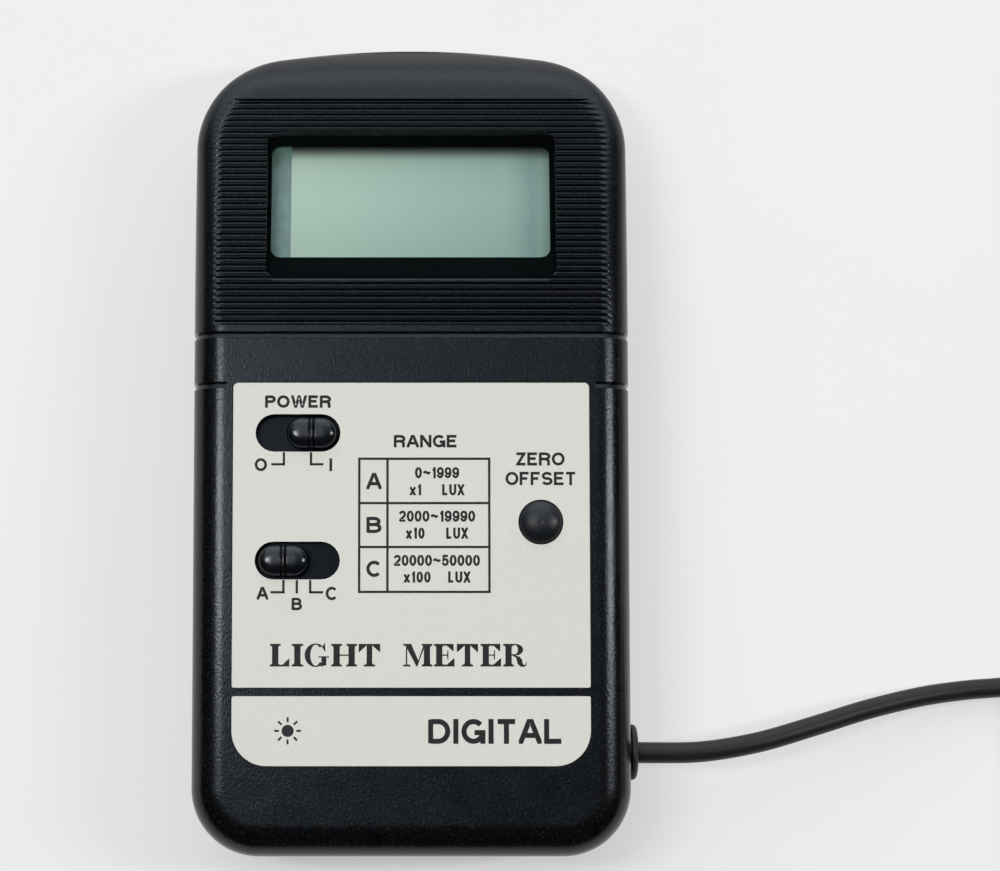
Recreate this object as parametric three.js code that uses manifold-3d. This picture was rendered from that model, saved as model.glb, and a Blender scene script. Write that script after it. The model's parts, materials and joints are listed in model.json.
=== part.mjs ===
// A handheld light meter with a detector head on a lead. Millimetres, +Z up.
// The meter lies on its back: +Z comes out of its display face, +Y points to its display end and
// +X to its lead side. The origin is the middle of the meter's flat back.
import * as THREE from "three";
import { mergeVertices } from "three/addons/utils/BufferGeometryUtils.js";
import Module from "manifold-3d";

const wasm = await Module();
wasm.setup();

// Driving dimensions of the case.
const LENGTH = 131;
const WIDTH = 70;
const DEPTH = 25;
const WALL = 2.2;
const BOTTOM_CORNER = 11;
const TOP_CORNER = 16.3;
const TOP_ARCH = 150;
const PARTING = 12;
const PARTING_GAP = 0.3;
const FLAT_FACE_END = 17; // the face is flat below this height and falls away in an arc above it
const FACE_ARC = 128;
const TOP_EDGE_START = 57.5;
const TOP_EDGE_ARC = 7;
const CLEARANCE = 0.3;

// Driving dimensions of what shows on the face.
const WINDOW = { y: 38.4, width: 46.2, height: 24.6, corner: 1.8 };
const MASK = { x: -0.12, y: 1.9, width: 44.95, height: 19.2, corner: 1.6 };
const RECESS_DEPTH = 0.45;
const LABEL_THICKNESS = 0.3;
const LABEL_GAP = 0.1;
const CONTROL_LABEL = { width: 56.2, bottom: -38.7, top: 9.3, corner: 0.8, foot: 0.35 };
const NAME_LABEL = { width: 56.2, bottom: -50.9, top: -40, corner: 0.35, foot: 5.5 };
const SLOT = { width: 13.3, height: 5.85 };
const POWER_SLOT = { x: -17.85, y: 1.33 };
const RANGE_SLOT = { x: -17.9, y: -18.8 };
const KNOB = { width: 8.1, height: 4.95, proud: 1.1 };
const POWER_TRAVEL = 4.3;
const RANGE_TRAVEL = 4.35;
const ZERO = { x: 20.4, y: -12.75, radius: 3.5, rise: 1.3 };
const GROOVE_DEPTH = 0.7;
const FACE_GROOVE = { low: 16.4, high: 17.5 };
const SIDE_GROOVE = { low: 8.4, high: 9.5, reach: 29.1 };

// Driving dimensions of the lead, its coil and the detector head.
const LEAD = 3.3;
const GLAND = { y: -49.1, z: 12, flange: 4.45, hole: 3.2 };
const COIL = { x: 129, y: -47, inner: 13.4, outer: 23.6, height: 10 };
const HEAD = { x: 136.7, y: 2, length: 82, width: 55, thickness: 8 };
const SENSOR = { y: 56, opening: 17.5, dome: 16.9, domeRise: 6.2 };

// Colours and finishes.
const paint = {
  casing: { color: 0x17181b, roughness: 0.55, metalness: 0 },
  cream: { color: 0xd7d8cf, roughness: 0.6, metalness: 0 },
  lens: { color: 0x9fb8ae, roughness: 0.05, metalness: 0 },
  lcd: { color: 0x9cbcae, roughness: 0.35, metalness: 0 },
  reflector: { color: 0xaab8ae, roughness: 0.5, metalness: 0.2 },
  glossBlack: { color: 0x101113, roughness: 0.2, metalness: 0 },
  board: { color: 0x2c6b43, roughness: 0.5, metalness: 0 },
  steel: { color: 0xb8babd, roughness: 0.35, metalness: 1 },
  rubber: { color: 0x1a1a1a, roughness: 0.85, metalness: 0 },
  battery: { color: 0x59636e, roughness: 0.4, metalness: 0.5 },
  foam: { color: 0x3a3a3c, roughness: 1, metalness: 0 },
  red: { color: 0xa02622, roughness: 0.6, metalness: 0 },
  blue: { color: 0x2f5fa8, roughness: 0.5, metalness: 0 },
  diffuser: { color: 0xf1f0ea, roughness: 0.45, metalness: 0 },
  filter: { color: 0x5f8f6a, roughness: 0.1, metalness: 0 },
};

// ---- Helpers: solids, cuts and placing ----

function bare(geometry) {
  const copy = geometry.clone();
  copy.deleteAttribute("normal");
  copy.deleteAttribute("uv");
  return mergeVertices(copy, 1e-4);
}

function solid(geometry) {
  const merged = bare(geometry);
  return new wasm.Manifold(
    new wasm.Mesh({
      numProp: 3,
      vertProperties: new Float32Array(merged.attributes.position.array),
      triVerts: new Uint32Array(merged.index.array),
    }),
  );
}

function geometryOf(made) {
  const mesh = made.getMesh();
  const geometry = new THREE.BufferGeometry();
  geometry.setAttribute("position", new THREE.BufferAttribute(mesh.vertProperties, 3));
  geometry.setIndex(new THREE.BufferAttribute(mesh.triVerts, 1));
  return geometry;
}

function joined(...geometries) {
  return geometryOf(geometries.map(solid).reduce((all, next) => all.add(next)));
}

function cut(body, ...tools) {
  return geometryOf(tools.map(solid).reduce((left, tool) => left.subtract(tool), solid(body)));
}

function common(a, b) {
  return geometryOf(solid(a).intersect(solid(b)));
}

function block(x0, x1, y0, y1, z0, z1) {
  const box = new THREE.BoxGeometry(x1 - x0, y1 - y0, z1 - z0);
  return box.translate((x0 + x1) / 2, (y0 + y1) / 2, (z0 + z1) / 2);
}

// A rectangle with rounded corners, one radius at its low edge and one at its high edge.
function roundedShape(x0, x1, y0, y1, foot, top = foot) {
  const shape = new THREE.Shape();
  shape.moveTo(x0 + foot, y0);
  shape.lineTo(x1 - foot, y0);
  shape.absarc(x1 - foot, y0 + foot, foot, -Math.PI / 2, 0);
  shape.lineTo(x1, y1 - top);
  shape.absarc(x1 - top, y1 - top, top, 0, Math.PI / 2);
  shape.lineTo(x0 + top, y1);
  shape.absarc(x0 + top, y1 - top, top, Math.PI / 2, Math.PI);
  shape.lineTo(x0, y0 + foot);
  shape.absarc(x0 + foot, y0 + foot, foot, Math.PI, 1.5 * Math.PI);
  return shape;
}

function plate(shape, z0, z1, curveSegments = 5) {
  const made = new THREE.ExtrudeGeometry(shape, { depth: z1 - z0, bevelEnabled: false, curveSegments });
  return made.translate(0, 0, z0);
}

function centredPlate({ x = 0, y = 0, width, height, corner }, z0, z1, curveSegments = 5) {
  const shape = roundedShape(
    x - width / 2, x + width / 2, y - height / 2, y + height / 2, corner,
  );
  return plate(shape, z0, z1, curveSegments);
}

function disc(x, y, radius, z0, z1, segments = 20) {
  const made = new THREE.CylinderGeometry(radius, radius, z1 - z0, segments);
  return made.rotateX(Math.PI / 2).translate(x, y, (z0 + z1) / 2);
}

function discAlongX(y, z, radius, x0, x1, segments = 16) {
  const made = new THREE.CylinderGeometry(radius, radius, x1 - x0, segments);
  return made.rotateZ(Math.PI / 2).translate((x0 + x1) / 2, y, z);
}

function turned(profile, segments = 24) {
  const points = profile.map(([r, z]) => new THREE.Vector2(r, z));
  return new THREE.LatheGeometry(points, segments).rotateX(Math.PI / 2);
}

function tube(points, diameter, steps, sides = 8) {
  const section = new THREE.Shape();
  for (let i = 0; i < sides; i += 1) {
    const angle = (2 * Math.PI * (i + 0.5)) / sides;
    const x = (diameter / 2) * Math.cos(angle);
    const y = (diameter / 2) * Math.sin(angle);
    if (i === 0) section.moveTo(x, y);
    else section.lineTo(x, y);
  }
  const path = new THREE.CatmullRomCurve3(points.map((p) => new THREE.Vector3(...p)), false, "centripetal");
  return new THREE.ExtrudeGeometry(section, { steps, extrudePath: path, bevelEnabled: false });
}

const meter = new THREE.Group();

function add(name, geometry, finish, parent = meter) {
  const mesh = new THREE.Mesh(geometry, new THREE.MeshStandardMaterial(finish));
  mesh.name = name;
  parent.add(mesh);
  return mesh;
}

// ---- The case's outline and face ----

// The height of the face above the back at a place along the meter.
function faceHeight(y) {
  const fall = (at) => Math.max(0, at - FLAT_FACE_END) ** 2 / (2 * FACE_ARC);
  const past = Math.max(0, y - TOP_EDGE_START);
  return DEPTH - fall(y) - TOP_EDGE_ARC * (1 - Math.sqrt(1 - (past / (LENGTH / 2 - TOP_EDGE_START + 1)) ** 2));
}

// Points of the right half of the outline, moved in by inset, from the foot to the top.
function halfOutline(inset) {
  const points = [];
  const side = WIDTH / 2;
  const bottom = -LENGTH / 2;
  const arc = (x, y, radius, from, to, count) => {
    for (let i = 0; i <= count; i += 1) {
      const angle = from + ((to - from) * i) / count;
      points.push([x + radius * Math.cos(angle), y + radius * Math.sin(angle)]);
    }
  };
  arc(side - BOTTOM_CORNER, bottom + BOTTOM_CORNER, BOTTOM_CORNER - inset, -Math.PI / 2, 0, 7);
  for (const y of [-25, 0, FLAT_FACE_END, 24, 31, 38, 44]) points.push([side - inset, y]);
  const archCentre = LENGTH / 2 - TOP_ARCH;
  const cornerX = side - TOP_CORNER;
  const cornerY = archCentre + Math.sqrt((TOP_ARCH - TOP_CORNER) ** 2 - cornerX ** 2);
  const meet = Math.atan2(cornerY - archCentre, cornerX);
  arc(cornerX, cornerY, TOP_CORNER - inset, 0, meet, 8);
  for (const share of [0.3, 0.6, 0.88]) {
    const angle = meet + (Math.PI / 2 - meet) * share;
    points.push([
      (TOP_ARCH - inset) * Math.cos(angle),
      archCentre + (TOP_ARCH - inset) * Math.sin(angle),
    ]);
  }
  return points;
}

// A closed solid through rings of the outline; each ring is { inset, z }, z a function of y.
function loft(rings) {
  const positions = [];
  const indices = [];
  const half = halfOutline(0).length;
  for (const { inset, z } of rings) {
    const right = halfOutline(inset);
    const left = right.map(([x, y]) => [-x, y]).reverse();
    for (const [x, y] of [...right, ...left]) positions.push(x, y, z(y));
  }
  const count = 2 * half;
  for (let r = 0; r + 1 < rings.length; r += 1) {
    for (let i = 0; i < count; i += 1) {
      const a = r * count + i;
      const b = r * count + ((i + 1) % count);
      indices.push(a, b, b + count, a, b + count, a + count);
    }
  }
  const cap = (base, up) => {
    for (let i = 0; i + 1 < half; i += 1) {
      const [a, b, c, d] = [base + i, base + i + 1, base + count - 2 - i, base + count - 1 - i];
      if (up) indices.push(a, b, c, a, c, d);
      else indices.push(a, c, b, a, d, c);
    }
  };
  cap(0, false);
  cap((rings.length - 1) * count, true);
  const geometry = new THREE.BufferGeometry();
  geometry.setAttribute("position", new THREE.Float32BufferAttribute(positions, 3));
  geometry.setIndex(indices);
  return geometry;
}

// How far the front's wall has risen (0 at the parting line, 1 at the face) at each inset.
const FRONT_EDGE = [
  [0, 0], [0.5, 0.4], [0.95, 0.7], [1.6, 0.87], [2.6, 0.96], [3.6, 0.99], [4.7, 1],
];
const REAR_EDGE = [[3.6, 0], [2.4, 0.3], [1.3, 1.1], [0.7, 3]];

function frontBlank(inset = 0, sink = 0) {
  const base = PARTING + PARTING_GAP / 2;
  return loft(FRONT_EDGE.map(([edge, share]) => ({
    inset: edge + inset,
    z: (y) => base + (faceHeight(y) - sink - base) * share,
  })));
}

function frontHollow() {
  const base = PARTING - 1;
  const rings = [[WALL, 0], [WALL + 0.5, 0.5], [WALL + 1.6, 0.85], [WALL + 3.6, 1]];
  return loft(rings.map(([inset, share]) => ({
    inset,
    z: (y) => base + (faceHeight(y) - WALL - base) * share,
  })));
}

function rearBlank(inset = 0, sink = 0) {
  const rings = REAR_EDGE.map(([edge, z]) => ({ inset: edge + inset, z: () => z + sink }));
  rings.push({ inset, z: () => PARTING - PARTING_GAP / 2 });
  return loft(rings);
}

function rearHollow() {
  const rings = [[WALL + 3, WALL], [WALL + 1, WALL + 0.6], [WALL + 0.3, WALL + 2.4], [WALL, PARTING + 1]];
  return loft(rings.map(([inset, z]) => ({ inset, z: () => z })));
}

// What a groove round the case takes away: a slice of the skin between two heights.
function grooveTool({ low, high }, blank, core) {
  return common(cut(blank, core), block(-WIDTH, WIDTH, low, high, -1, DEPTH + 1));
}

// ---- Screws that hold the two halves ----

const SCREWS = [
  { name: "case_screw_top_left", x: -25, y: 57.3, length: 9.6, post: 16.7 },
  { name: "case_screw_top_right", x: 25, y: 57.3, length: 9.6, post: 16.7 },
  { name: "case_screw_bottom_left", x: -28.6, y: -27.6, length: 14, post: 23.2 },
  { name: "case_screw_bottom_right", x: 28.6, y: -27.6, length: 14, post: 23.2 },
];
const POST_RADIUS = 3;
const SCREW_HEAD = { radius: 2.6, seat: 5.6, height: 1.9 };
const SHANK_RADIUS = 1.25;
const BOARD_SCREWS = [
  { name: "board_screw_upper", x: 0, y: 12.8 },
  { name: "board_screw_lower", x: 0, y: -21.4 },
];
const BOARD = { top: 16.8, thickness: 1.6 };

function screw(radius, height, shank, length) {
  const cross = 0.35;
  const head = turned([
    [0, 0], [radius * 0.8, 0], [radius, height * 0.5], [radius, height], [shank, height],
    [shank, height + length * 0.85], [0, height + length],
  ], 12);
  const slots = [
    block(-radius * 0.6, radius * 0.6, -cross, cross, -1, height * 0.55),
    block(-cross, cross, -radius * 0.6, radius * 0.6, -1, height * 0.55),
  ];
  return cut(head, ...slots);
}

// ---- Case ----

const doorCut = { side: 25.8, top: -31, height: 8.2 };
const displayTilt = Math.asin((WINDOW.y - FLAT_FACE_END) / FACE_ARC);
const display = new THREE.Group();
display.position.set(0, WINDOW.y, faceHeight(WINDOW.y));
display.rotation.x = -displayTilt;
meter.add(display);

function tilted(geometry) {
  return geometry.rotateX(-displayTilt).translate(0, WINDOW.y, faceHeight(WINDOW.y));
}

function labelPocket({ width, bottom, top, corner, foot }) {
  const edge = 0.15;
  const shape = roundedShape(
    -width / 2 - edge, width / 2 + edge, bottom - edge, top + edge, foot + edge, corner,
  );
  return plate(shape, DEPTH - RECESS_DEPTH, DEPTH + 1);
}

function stadium({ x, y }, margin, z0, z1) {
  const corner = SLOT.height / 2 + margin;
  const outline = { x, y, width: SLOT.width + 2 * margin, height: SLOT.height + 2 * margin };
  return centredPlate({ ...outline, corner: corner - 0.01 }, z0, z1, 6);
}

function frontCover() {
  const shell = cut(frontBlank(), frontHollow());
  const ceiling = DEPTH - WALL;
  const posts = SCREWS.map(({ x, y, post }) => disc(x, y, POST_RADIUS, PARTING + 0.6, post, 16));
  posts.push(...BOARD_SCREWS.map(({ x, y }) => disc(x, y, 2.6, BOARD.top + CLEARANCE, ceiling + 0.4, 12)));
  const wider = SHANK_RADIUS + CLEARANCE;
  const bores = SCREWS.map(({ x, y, length }) => disc(
    x, y, wider, PARTING - 1, SCREW_HEAD.seat + length + CLEARANCE, 12,
  ));
  bores.push(...BOARD_SCREWS.map(({ x, y }) => disc(x, y, 1.3, BOARD.top - 1, ceiling - 1.4, 10)));
  const openings = [
    tilted(centredPlate({ ...WINDOW, y: 0 }, -8, 4)),
    stadium(POWER_SLOT, 0, ceiling - 1, DEPTH + 1),
    stadium(RANGE_SLOT, 0, ceiling - 1, DEPTH + 1),
    disc(ZERO.x, ZERO.y, ZERO.radius + CLEARANCE, ceiling - 1, DEPTH + 1, 28),
    labelPocket(CONTROL_LABEL),
    labelPocket(NAME_LABEL),
    discAlongX(GLAND.y, GLAND.z, GLAND.hole + CLEARANCE, 28, WIDTH / 2 + 1),
  ];
  const core = () => frontBlank(GROOVE_DEPTH, GROOVE_DEPTH);
  const sides = cut(
    grooveTool(SIDE_GROOVE, frontBlank(-0.5, -0.5), core()),
    block(-SIDE_GROOVE.reach, SIDE_GROOVE.reach, 0, 20, 0, DEPTH + 2),
  );
  const grooves = [grooveTool(FACE_GROOVE, frontBlank(-0.5, -0.5), core()), sides];
  return cut(joined(shell, ...posts), ...bores, ...openings, ...grooves);
}

// The skin of the rear half, whose lower middle is the battery door.
function doorRegion(margin) {
  const { side, top, height } = doorCut;
  return block(-side + margin, side - margin, -LENGTH, top - margin, -1, height - margin);
}

function rearCover() {
  const shell = cut(rearBlank(), rearHollow());
  const posts = SCREWS.map(({ x, y }) => disc(x, y, SCREW_HEAD.radius + 1.6, 1, PARTING - 0.2, 16));
  const seats = SCREWS.flatMap(({ x, y }) => [
    disc(x, y, SCREW_HEAD.radius + CLEARANCE, -1, SCREW_HEAD.seat, 16),
    disc(x, y, SHANK_RADIUS + CLEARANCE, 0, PARTING + 1, 12),
  ]);
  const grooves = [SIDE_GROOVE, FACE_GROOVE].map((groove) => cut(
    grooveTool(groove, rearBlank(-0.5, -0.5), rearBlank(GROOVE_DEPTH, 0)),
    block(-WIDTH, WIDTH, 0, 20, -1, 1.4),
  ));
  const gland = discAlongX(GLAND.y, GLAND.z, GLAND.hole + CLEARANCE, 28, WIDTH / 2 + 1);
  return cut(joined(shell, ...posts), ...seats, ...grooves, gland, doorRegion(0));
}

function batteryDoor() {
  const door = common(cut(rearBlank(), rearHollow()), doorRegion(CLEARANCE));
  const ribs = [0, 1, 2, 3, 4].map((i) => block(-9, 9, -45 - 2 * i, -44.2 - 2 * i, -0.4, 0.5));
  return cut(door, ...ribs);
}

add("front_cover", frontCover(), paint.casing);
add("rear_cover", rearCover(), paint.casing);
add("battery_door", batteryDoor(), paint.casing);
for (const { name, x, y, length } of SCREWS) {
  const made = screw(SCREW_HEAD.radius, SCREW_HEAD.height, SHANK_RADIUS, length);
  add(name, made, paint.steel).position.set(x, y, SCREW_HEAD.seat - SCREW_HEAD.height - 0.05);
}
for (const { name, x, y } of BOARD_SCREWS) {
  add(name, screw(2.1, 1.5, 1, 4.6), paint.steel)
    .position.set(x, y, BOARD.top - BOARD.thickness - 1.5 - 0.05);
}

// ---- Labels ----

function label({ width, bottom, top, corner, foot }, ...holes) {
  const low = DEPTH - RECESS_DEPTH + LABEL_GAP / 2;
  const shape = roundedShape(-width / 2, width / 2, bottom, top, foot, corner);
  const sheet = plate(shape, low, low + LABEL_THICKNESS);
  return holes.length ? cut(sheet, ...holes) : sheet;
}

const labelHoles = [
  stadium(POWER_SLOT, 0.05, 20, 30),
  stadium(RANGE_SLOT, 0.05, 20, 30),
  disc(ZERO.x, ZERO.y, ZERO.radius + CLEARANCE, 20, 30, 28),
];
add("control_label", label(CONTROL_LABEL, ...labelHoles), paint.cream);
add("name_label", label(NAME_LABEL), paint.cream);

// ---- Display: everything here is square to the sloping face ----

const LCD = { width: 50.8, height: 28, y: 1.4 };
const lensPlate = { width: WINDOW.width - 0.6, height: WINDOW.height - 0.6, corner: 1.5 };
const lensFlange = { width: 50, height: 27.6, corner: 2 };
add("display_window", joined(
  centredPlate(lensPlate, -3, -0.8),
  centredPlate(lensFlange, -3.9, -3),
), paint.lens, display);

function bezelShape() {
  const frame = centredPlate({ y: LCD.y, width: 53.6, height: 30.4, corner: 1.2 }, -8.4, -4.2, 3);
  const seat = { y: LCD.y, width: LCD.width + 0.8, height: LCD.height + 0.8, corner: 0.5 };
  const pocket = centredPlate(seat, -9, -5.4, 3);
  return cut(frame, pocket, centredPlate(MASK, -9, -3));
}
add("lcd_bezel", bezelShape(), paint.glossBlack, display);
add("lcd_panel", centredPlate({ ...LCD, corner: 0.3 }, -8.2, -5.7, 2), paint.lcd, display);
const reflectorCentre = { x: 1.4, y: LCD.y, width: 45.6, height: 22.6, corner: 0.3 };
add("lcd_reflector", centredPlate(reflectorCentre, -8.7, -8.3, 2), paint.reflector, display);
for (const [name, side] of [["zebra_strip_upper", 1], ["zebra_strip_lower", -1]]) {
  const y = LCD.y + side * (LCD.height / 2 - 1.3);
  add(name, block(-23, 23, y - 1, y + 1, -11.6, -8.3), paint.rubber, display);
}
const displayBoard = centredPlate({ y: LCD.y, width: 56, height: 30.2, corner: 1 }, -13.4, -11.8, 3);
add("display_board", displayBoard, paint.board, display);

// ---- Main board and what stands on it ----

const boardBlank = centredPlate(
  { y: -4.2, width: 60, height: 38.6, corner: 1.5 }, BOARD.top - BOARD.thickness, BOARD.top, 3,
);
const boardHoles = BOARD_SCREWS.map(({ x, y }) => disc(x, y, 1.35, 0, DEPTH, 12));
add("main_board", cut(boardBlank, ...boardHoles), paint.board);

// A slide switch: a metal frame on the board whose slotted top lets the slider's stem run.
const SWITCH = { width: 14, height: 6.6, low: BOARD.top + 0.05, high: 21.6 };
const STEM = { width: 3, height: 2.2, foot: 18.6 };
const KNOB_FOOT = 22.1;

function switchFrame(travel) {
  const { width, height, low, high } = SWITCH;
  const room = travel / 2 + STEM.width / 2 + 0.35;
  return cut(
    block(-width / 2, width / 2, -height / 2, height / 2, low, high),
    block(-room, room, -STEM.height / 2 - CLEARANCE, STEM.height / 2 + CLEARANCE, STEM.foot - 0.4, high + 1),
  );
}

// The slider's cap is a rounded pill with a finger rib across its middle.
function sliderKnob() {
  const { width, height, proud } = KNOB;
  const top = DEPTH + proud;
  const radius = height / 2;
  const cap = [
    [radius, KNOB_FOOT], [radius, top - 1.7], [radius * 0.86, top - 0.8], [radius * 0.55, top - 0.2], [0, top],
  ];
  const end = turned([[0, KNOB_FOOT], ...cap], 16);
  const reach = width / 2 - radius;
  const section = new THREE.Shape();
  section.moveTo(-radius, KNOB_FOOT);
  section.lineTo(radius, KNOB_FOOT);
  for (const [r, z] of cap.slice(1)) section.lineTo(r, z);
  for (const [r, z] of cap.slice(1, -1).reverse()) section.lineTo(-r, z);
  const middle = new THREE.ExtrudeGeometry(section, { depth: 2 * reach, bevelEnabled: false })
    .translate(0, 0, -reach)
    .rotateX(Math.PI / 2)
    .rotateZ(Math.PI / 2);
  const rib = block(-0.35, 0.35, -radius * 0.8, radius * 0.8, top - 1.5, top + 0.25);
  const stem = block(
    -STEM.width / 2, STEM.width / 2, -STEM.height / 2, STEM.height / 2, STEM.foot, KNOB_FOOT + 0.5,
  );
  return joined(end.clone().translate(-reach, 0, 0), middle, end.translate(reach, 0, 0), rib, stem);
}

function slideSwitch(name, slot, travel, rest) {
  add(`${name}_switch_frame`, switchFrame(travel), paint.steel).position.set(slot.x, slot.y, 0);
  add(`${name}_slider`, sliderKnob(), paint.casing).position.set(slot.x + rest, slot.y, 0);
}
slideSwitch("power", POWER_SLOT, POWER_TRAVEL, POWER_TRAVEL / 2);
slideSwitch("range", RANGE_SLOT, RANGE_TRAVEL, -RANGE_TRAVEL / 2);

function zeroButton() {
  const top = DEPTH + ZERO.rise;
  const { radius } = ZERO;
  const collar = radius + 1.2;
  return turned([
    [0, 21.9], [collar, 21.9], [collar, 22.4], [radius, 22.4], [radius, top - 1.8], [radius * 0.88, top - 1],
    [radius * 0.6, top - 0.35], [radius * 0.3, top - 0.06], [0, top],
  ], 28);
}
add("zero_button", zeroButton(), paint.casing).position.set(ZERO.x, ZERO.y, 0);
add("zero_switch", joined(
  block(-3, 3, -3, 3, BOARD.top + 0.05, 20.2),
  disc(0, 0, 1.7, 20, 20.8, 14),
), paint.steel).position.set(ZERO.x, ZERO.y, 0);

// Parts on the under side of the board hang below it.
const UNDER = BOARD.top - BOARD.thickness - 0.05;

function chip(length, width, height) {
  const body = block(-length / 2, length / 2, -width / 2, width / 2, UNDER - height, UNDER - 0.4);
  const feet = [-1, 1].map((side) => block(
    -length / 2 + 1, length / 2 - 1, side * width / 2 - 0.6, side * width / 2 + 0.6, UNDER - height * 0.5, UNDER,
  ));
  return cut(joined(body, ...feet), disc(-length / 2, 0, 0.9, UNDER - height - 1, UNDER - height + 0.5, 10));
}
add("converter_chip", chip(51, 13.6, 4), paint.glossBlack).position.set(0, -2.2, 0);
const SMALL_PARTS_Y = -15.4;
add("amplifier_chip", chip(9.6, 6.4, 3.4), paint.glossBlack).position.set(-18, SMALL_PARTS_Y, 0);
for (const [order, across] of [[1, 8], [2, 15.5], [3, 23]]) {
  const body = block(-3.2, 3.2, -3.2, 3.2, UNDER - 4.4, UNDER);
  add(`calibration_trimmer_${order}`, cut(body, disc(0, 0, 1.3, UNDER - 6, UNDER - 3.9, 12)), paint.blue)
    .position.set(across, SMALL_PARTS_Y, 0);
}
for (const [order, across] of [[1, -25], [2, -8.5]]) {
  const body = centredPlate({ width: 7.4, height: 3.2, corner: 0.6 }, UNDER - 7, UNDER, 3);
  add(`film_capacitor_${order}`, body, paint.red).position.set(across, 9.6, 0);
}
const electrolytic = turned([[0, UNDER - 6.6], [2.2, UNDER - 6.6], [2.5, UNDER - 6.3], [2.5, UNDER], [0, UNDER]], 16);
add("reservoir_capacitor", electrolytic, paint.blue).position.set(11, 10.4, 0);

// The ribbon that joins the main board to the display board.
add("display_ribbon", tube(
  [[-14, 13.5, UNDER - 0.2], [-14, 15.2, 12.6], [-14, 18.4, 11.6], [-14, 22.2, 12]], 0.9, 10, 6,
), paint.foam);

// ---- Battery, snap connector, leads and pads ----

const BATTERY = { length: 48.5, width: 26.5, depth: 17.5, y: -46.8, low: 2.9 };
const terminalX = -BATTERY.length / 2;
const batteryMiddle = BATTERY.low + BATTERY.depth / 2;
const TERMINALS = [-6.35, 6.35].map((offset) => BATTERY.y + offset);

function battery() {
  const { length, width, depth, low, y } = BATTERY;
  const shape = roundedShape(y - width / 2, y + width / 2, low, low + depth, 2);
  const can = new THREE.ExtrudeGeometry(shape, { depth: length, bevelEnabled: false, curveSegments: 4 })
    .rotateX(Math.PI / 2)
    .rotateZ(Math.PI / 2)
    .translate(-length / 2, 0, 0);
  const studs = TERMINALS.map((at) => discAlongX(at, batteryMiddle, 2.6, terminalX - 2, terminalX + 1, 12));
  return joined(can, ...studs);
}
add("battery_9v", battery(), paint.battery);

const SNAP = { inner: terminalX - 0.4, outer: terminalX - 4.2 };
function snapConnector() {
  const { width, depth } = BATTERY;
  const body = block(
    SNAP.outer, SNAP.inner, BATTERY.y - width / 2 + 0.6, BATTERY.y + width / 2 - 0.6,
    batteryMiddle - depth / 2 + 3, batteryMiddle + depth / 2 - 3,
  );
  return cut(body, ...TERMINALS.map((at) => discAlongX(at, batteryMiddle, 3, SNAP.outer + 1.2, 0, 14)));
}
add("battery_snap", snapConnector(), paint.rubber);

// Both leads leave the snap's outer face, pass the corner post and end under the board.
add("battery_lead_red", tube([
  [-29.2, -41, 12.6], [-30.5, -38.5, 12.8], [-30, -34.6, 13.9], [-26.4, -32.2, 14.6], [-23.4, -29, 14.8],
  [-22.6, -25, 14.4], [-22.6, -20.6, 14.3],
], 1.2, 16, 6), paint.red);
add("battery_lead_black", tube([
  [-29.2, -45, 10.4], [-30.5, -42.5, 10.6], [-30.4, -36, 11], [-29.8, -33.2, 12.1],
  [-26.4, -31.6, 12.6], [-22.8, -29.2, 12.6],
  [-20.6, -24.6, 13.4], [-20.4, -20.6, 14.3],
], 1.2, 18, 6), paint.rubber);
add("battery_pad", block(-18, 18, -57, -37, 20.8, DEPTH - WALL - 0.25), paint.foam);

// ---- Lead, its gland and its coil ----

const glandProfile = [
  [1.4, -6], [GLAND.hole, -6], [GLAND.hole, 0.1], [GLAND.flange, 0.1], [GLAND.flange - 0.35, 0.6],
  [GLAND.flange - 1.4, 1], [2.1, 1.15], [1.95, 0.9], [1.95, -3], [1.4, -3.6], [1.4, -6],
];
// The gland's flange stands against the case's side.
const glandX = WIDTH / 2 + 0.25;
const gland = turned(glandProfile, 24).rotateY(Math.PI / 2);
add("lead_gland", gland, paint.rubber).position.set(glandX, GLAND.y, GLAND.z);

const LEAD_EXIT = [glandX - 2.4, GLAND.y, GLAND.z];
const leadRoute = [
  LEAD_EXIT, [39, -49.2, 12], [46.8, -49.05, 11.6], [56, -47.6, 10.3], [65.2, -45.1, 8.1],
  [74.9, -42.3, 5.6], [84.4, -40.2, 3.6], [92, -39.2, 2.4], [98, -38.7, 1.8], [102.5, -37.7, 1.7],
  [105.9, -35.9, 1.7],
];
add("sensor_lead", tube(leadRoute, LEAD, 26), paint.rubber);
add("lead_tail_inside", tube([
  [glandX - 3.4, GLAND.y, GLAND.z], [30.4, GLAND.y, GLAND.z], [28.7, -48.8, GLAND.z], [27, -46.3, GLAND.z],
  [26.4, -42, GLAND.z], [26.2, -36.5, 12.2], [25.5, -33, 12.6], [23.6, -29, 13], [23.2, -25, 13.5],
  [23.2, -20.4, 13.9],
], 1.8, 18, 6), paint.rubber);

const coil = turned([
  [COIL.inner, 0.05], [COIL.outer, 0.05], [COIL.outer, COIL.height], [COIL.inner, COIL.height], [COIL.inner, 0.05],
], 32);
add("lead_coil", coil, paint.rubber).position.set(COIL.x, COIL.y, 0);

// The tie wraps round the coil's bundle on its far side.
function tie() {
  const margin = CLEARANCE;
  const skin = 0.9;
  const middle = (COIL.inner + COIL.outer) / 2;
  const reach = (COIL.outer - COIL.inner) / 2 + margin;
  const outer = block(
    middle - reach - skin - 0.5, middle + reach + skin, -1.5, 1.5, 0.02, COIL.height + margin + skin,
  );
  const inner = block(middle - reach - 0.5, middle + reach, -2, 2, -1, COIL.height + margin);
  const buckle = block(middle + reach + skin - 0.2, middle + reach + 3, -1.9, 1.9, 2.4, 6.4);
  return joined(cut(outer, inner), buckle);
}
add("lead_tie", tie(), paint.rubber).position.set(COIL.x, COIL.y, 0);

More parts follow.
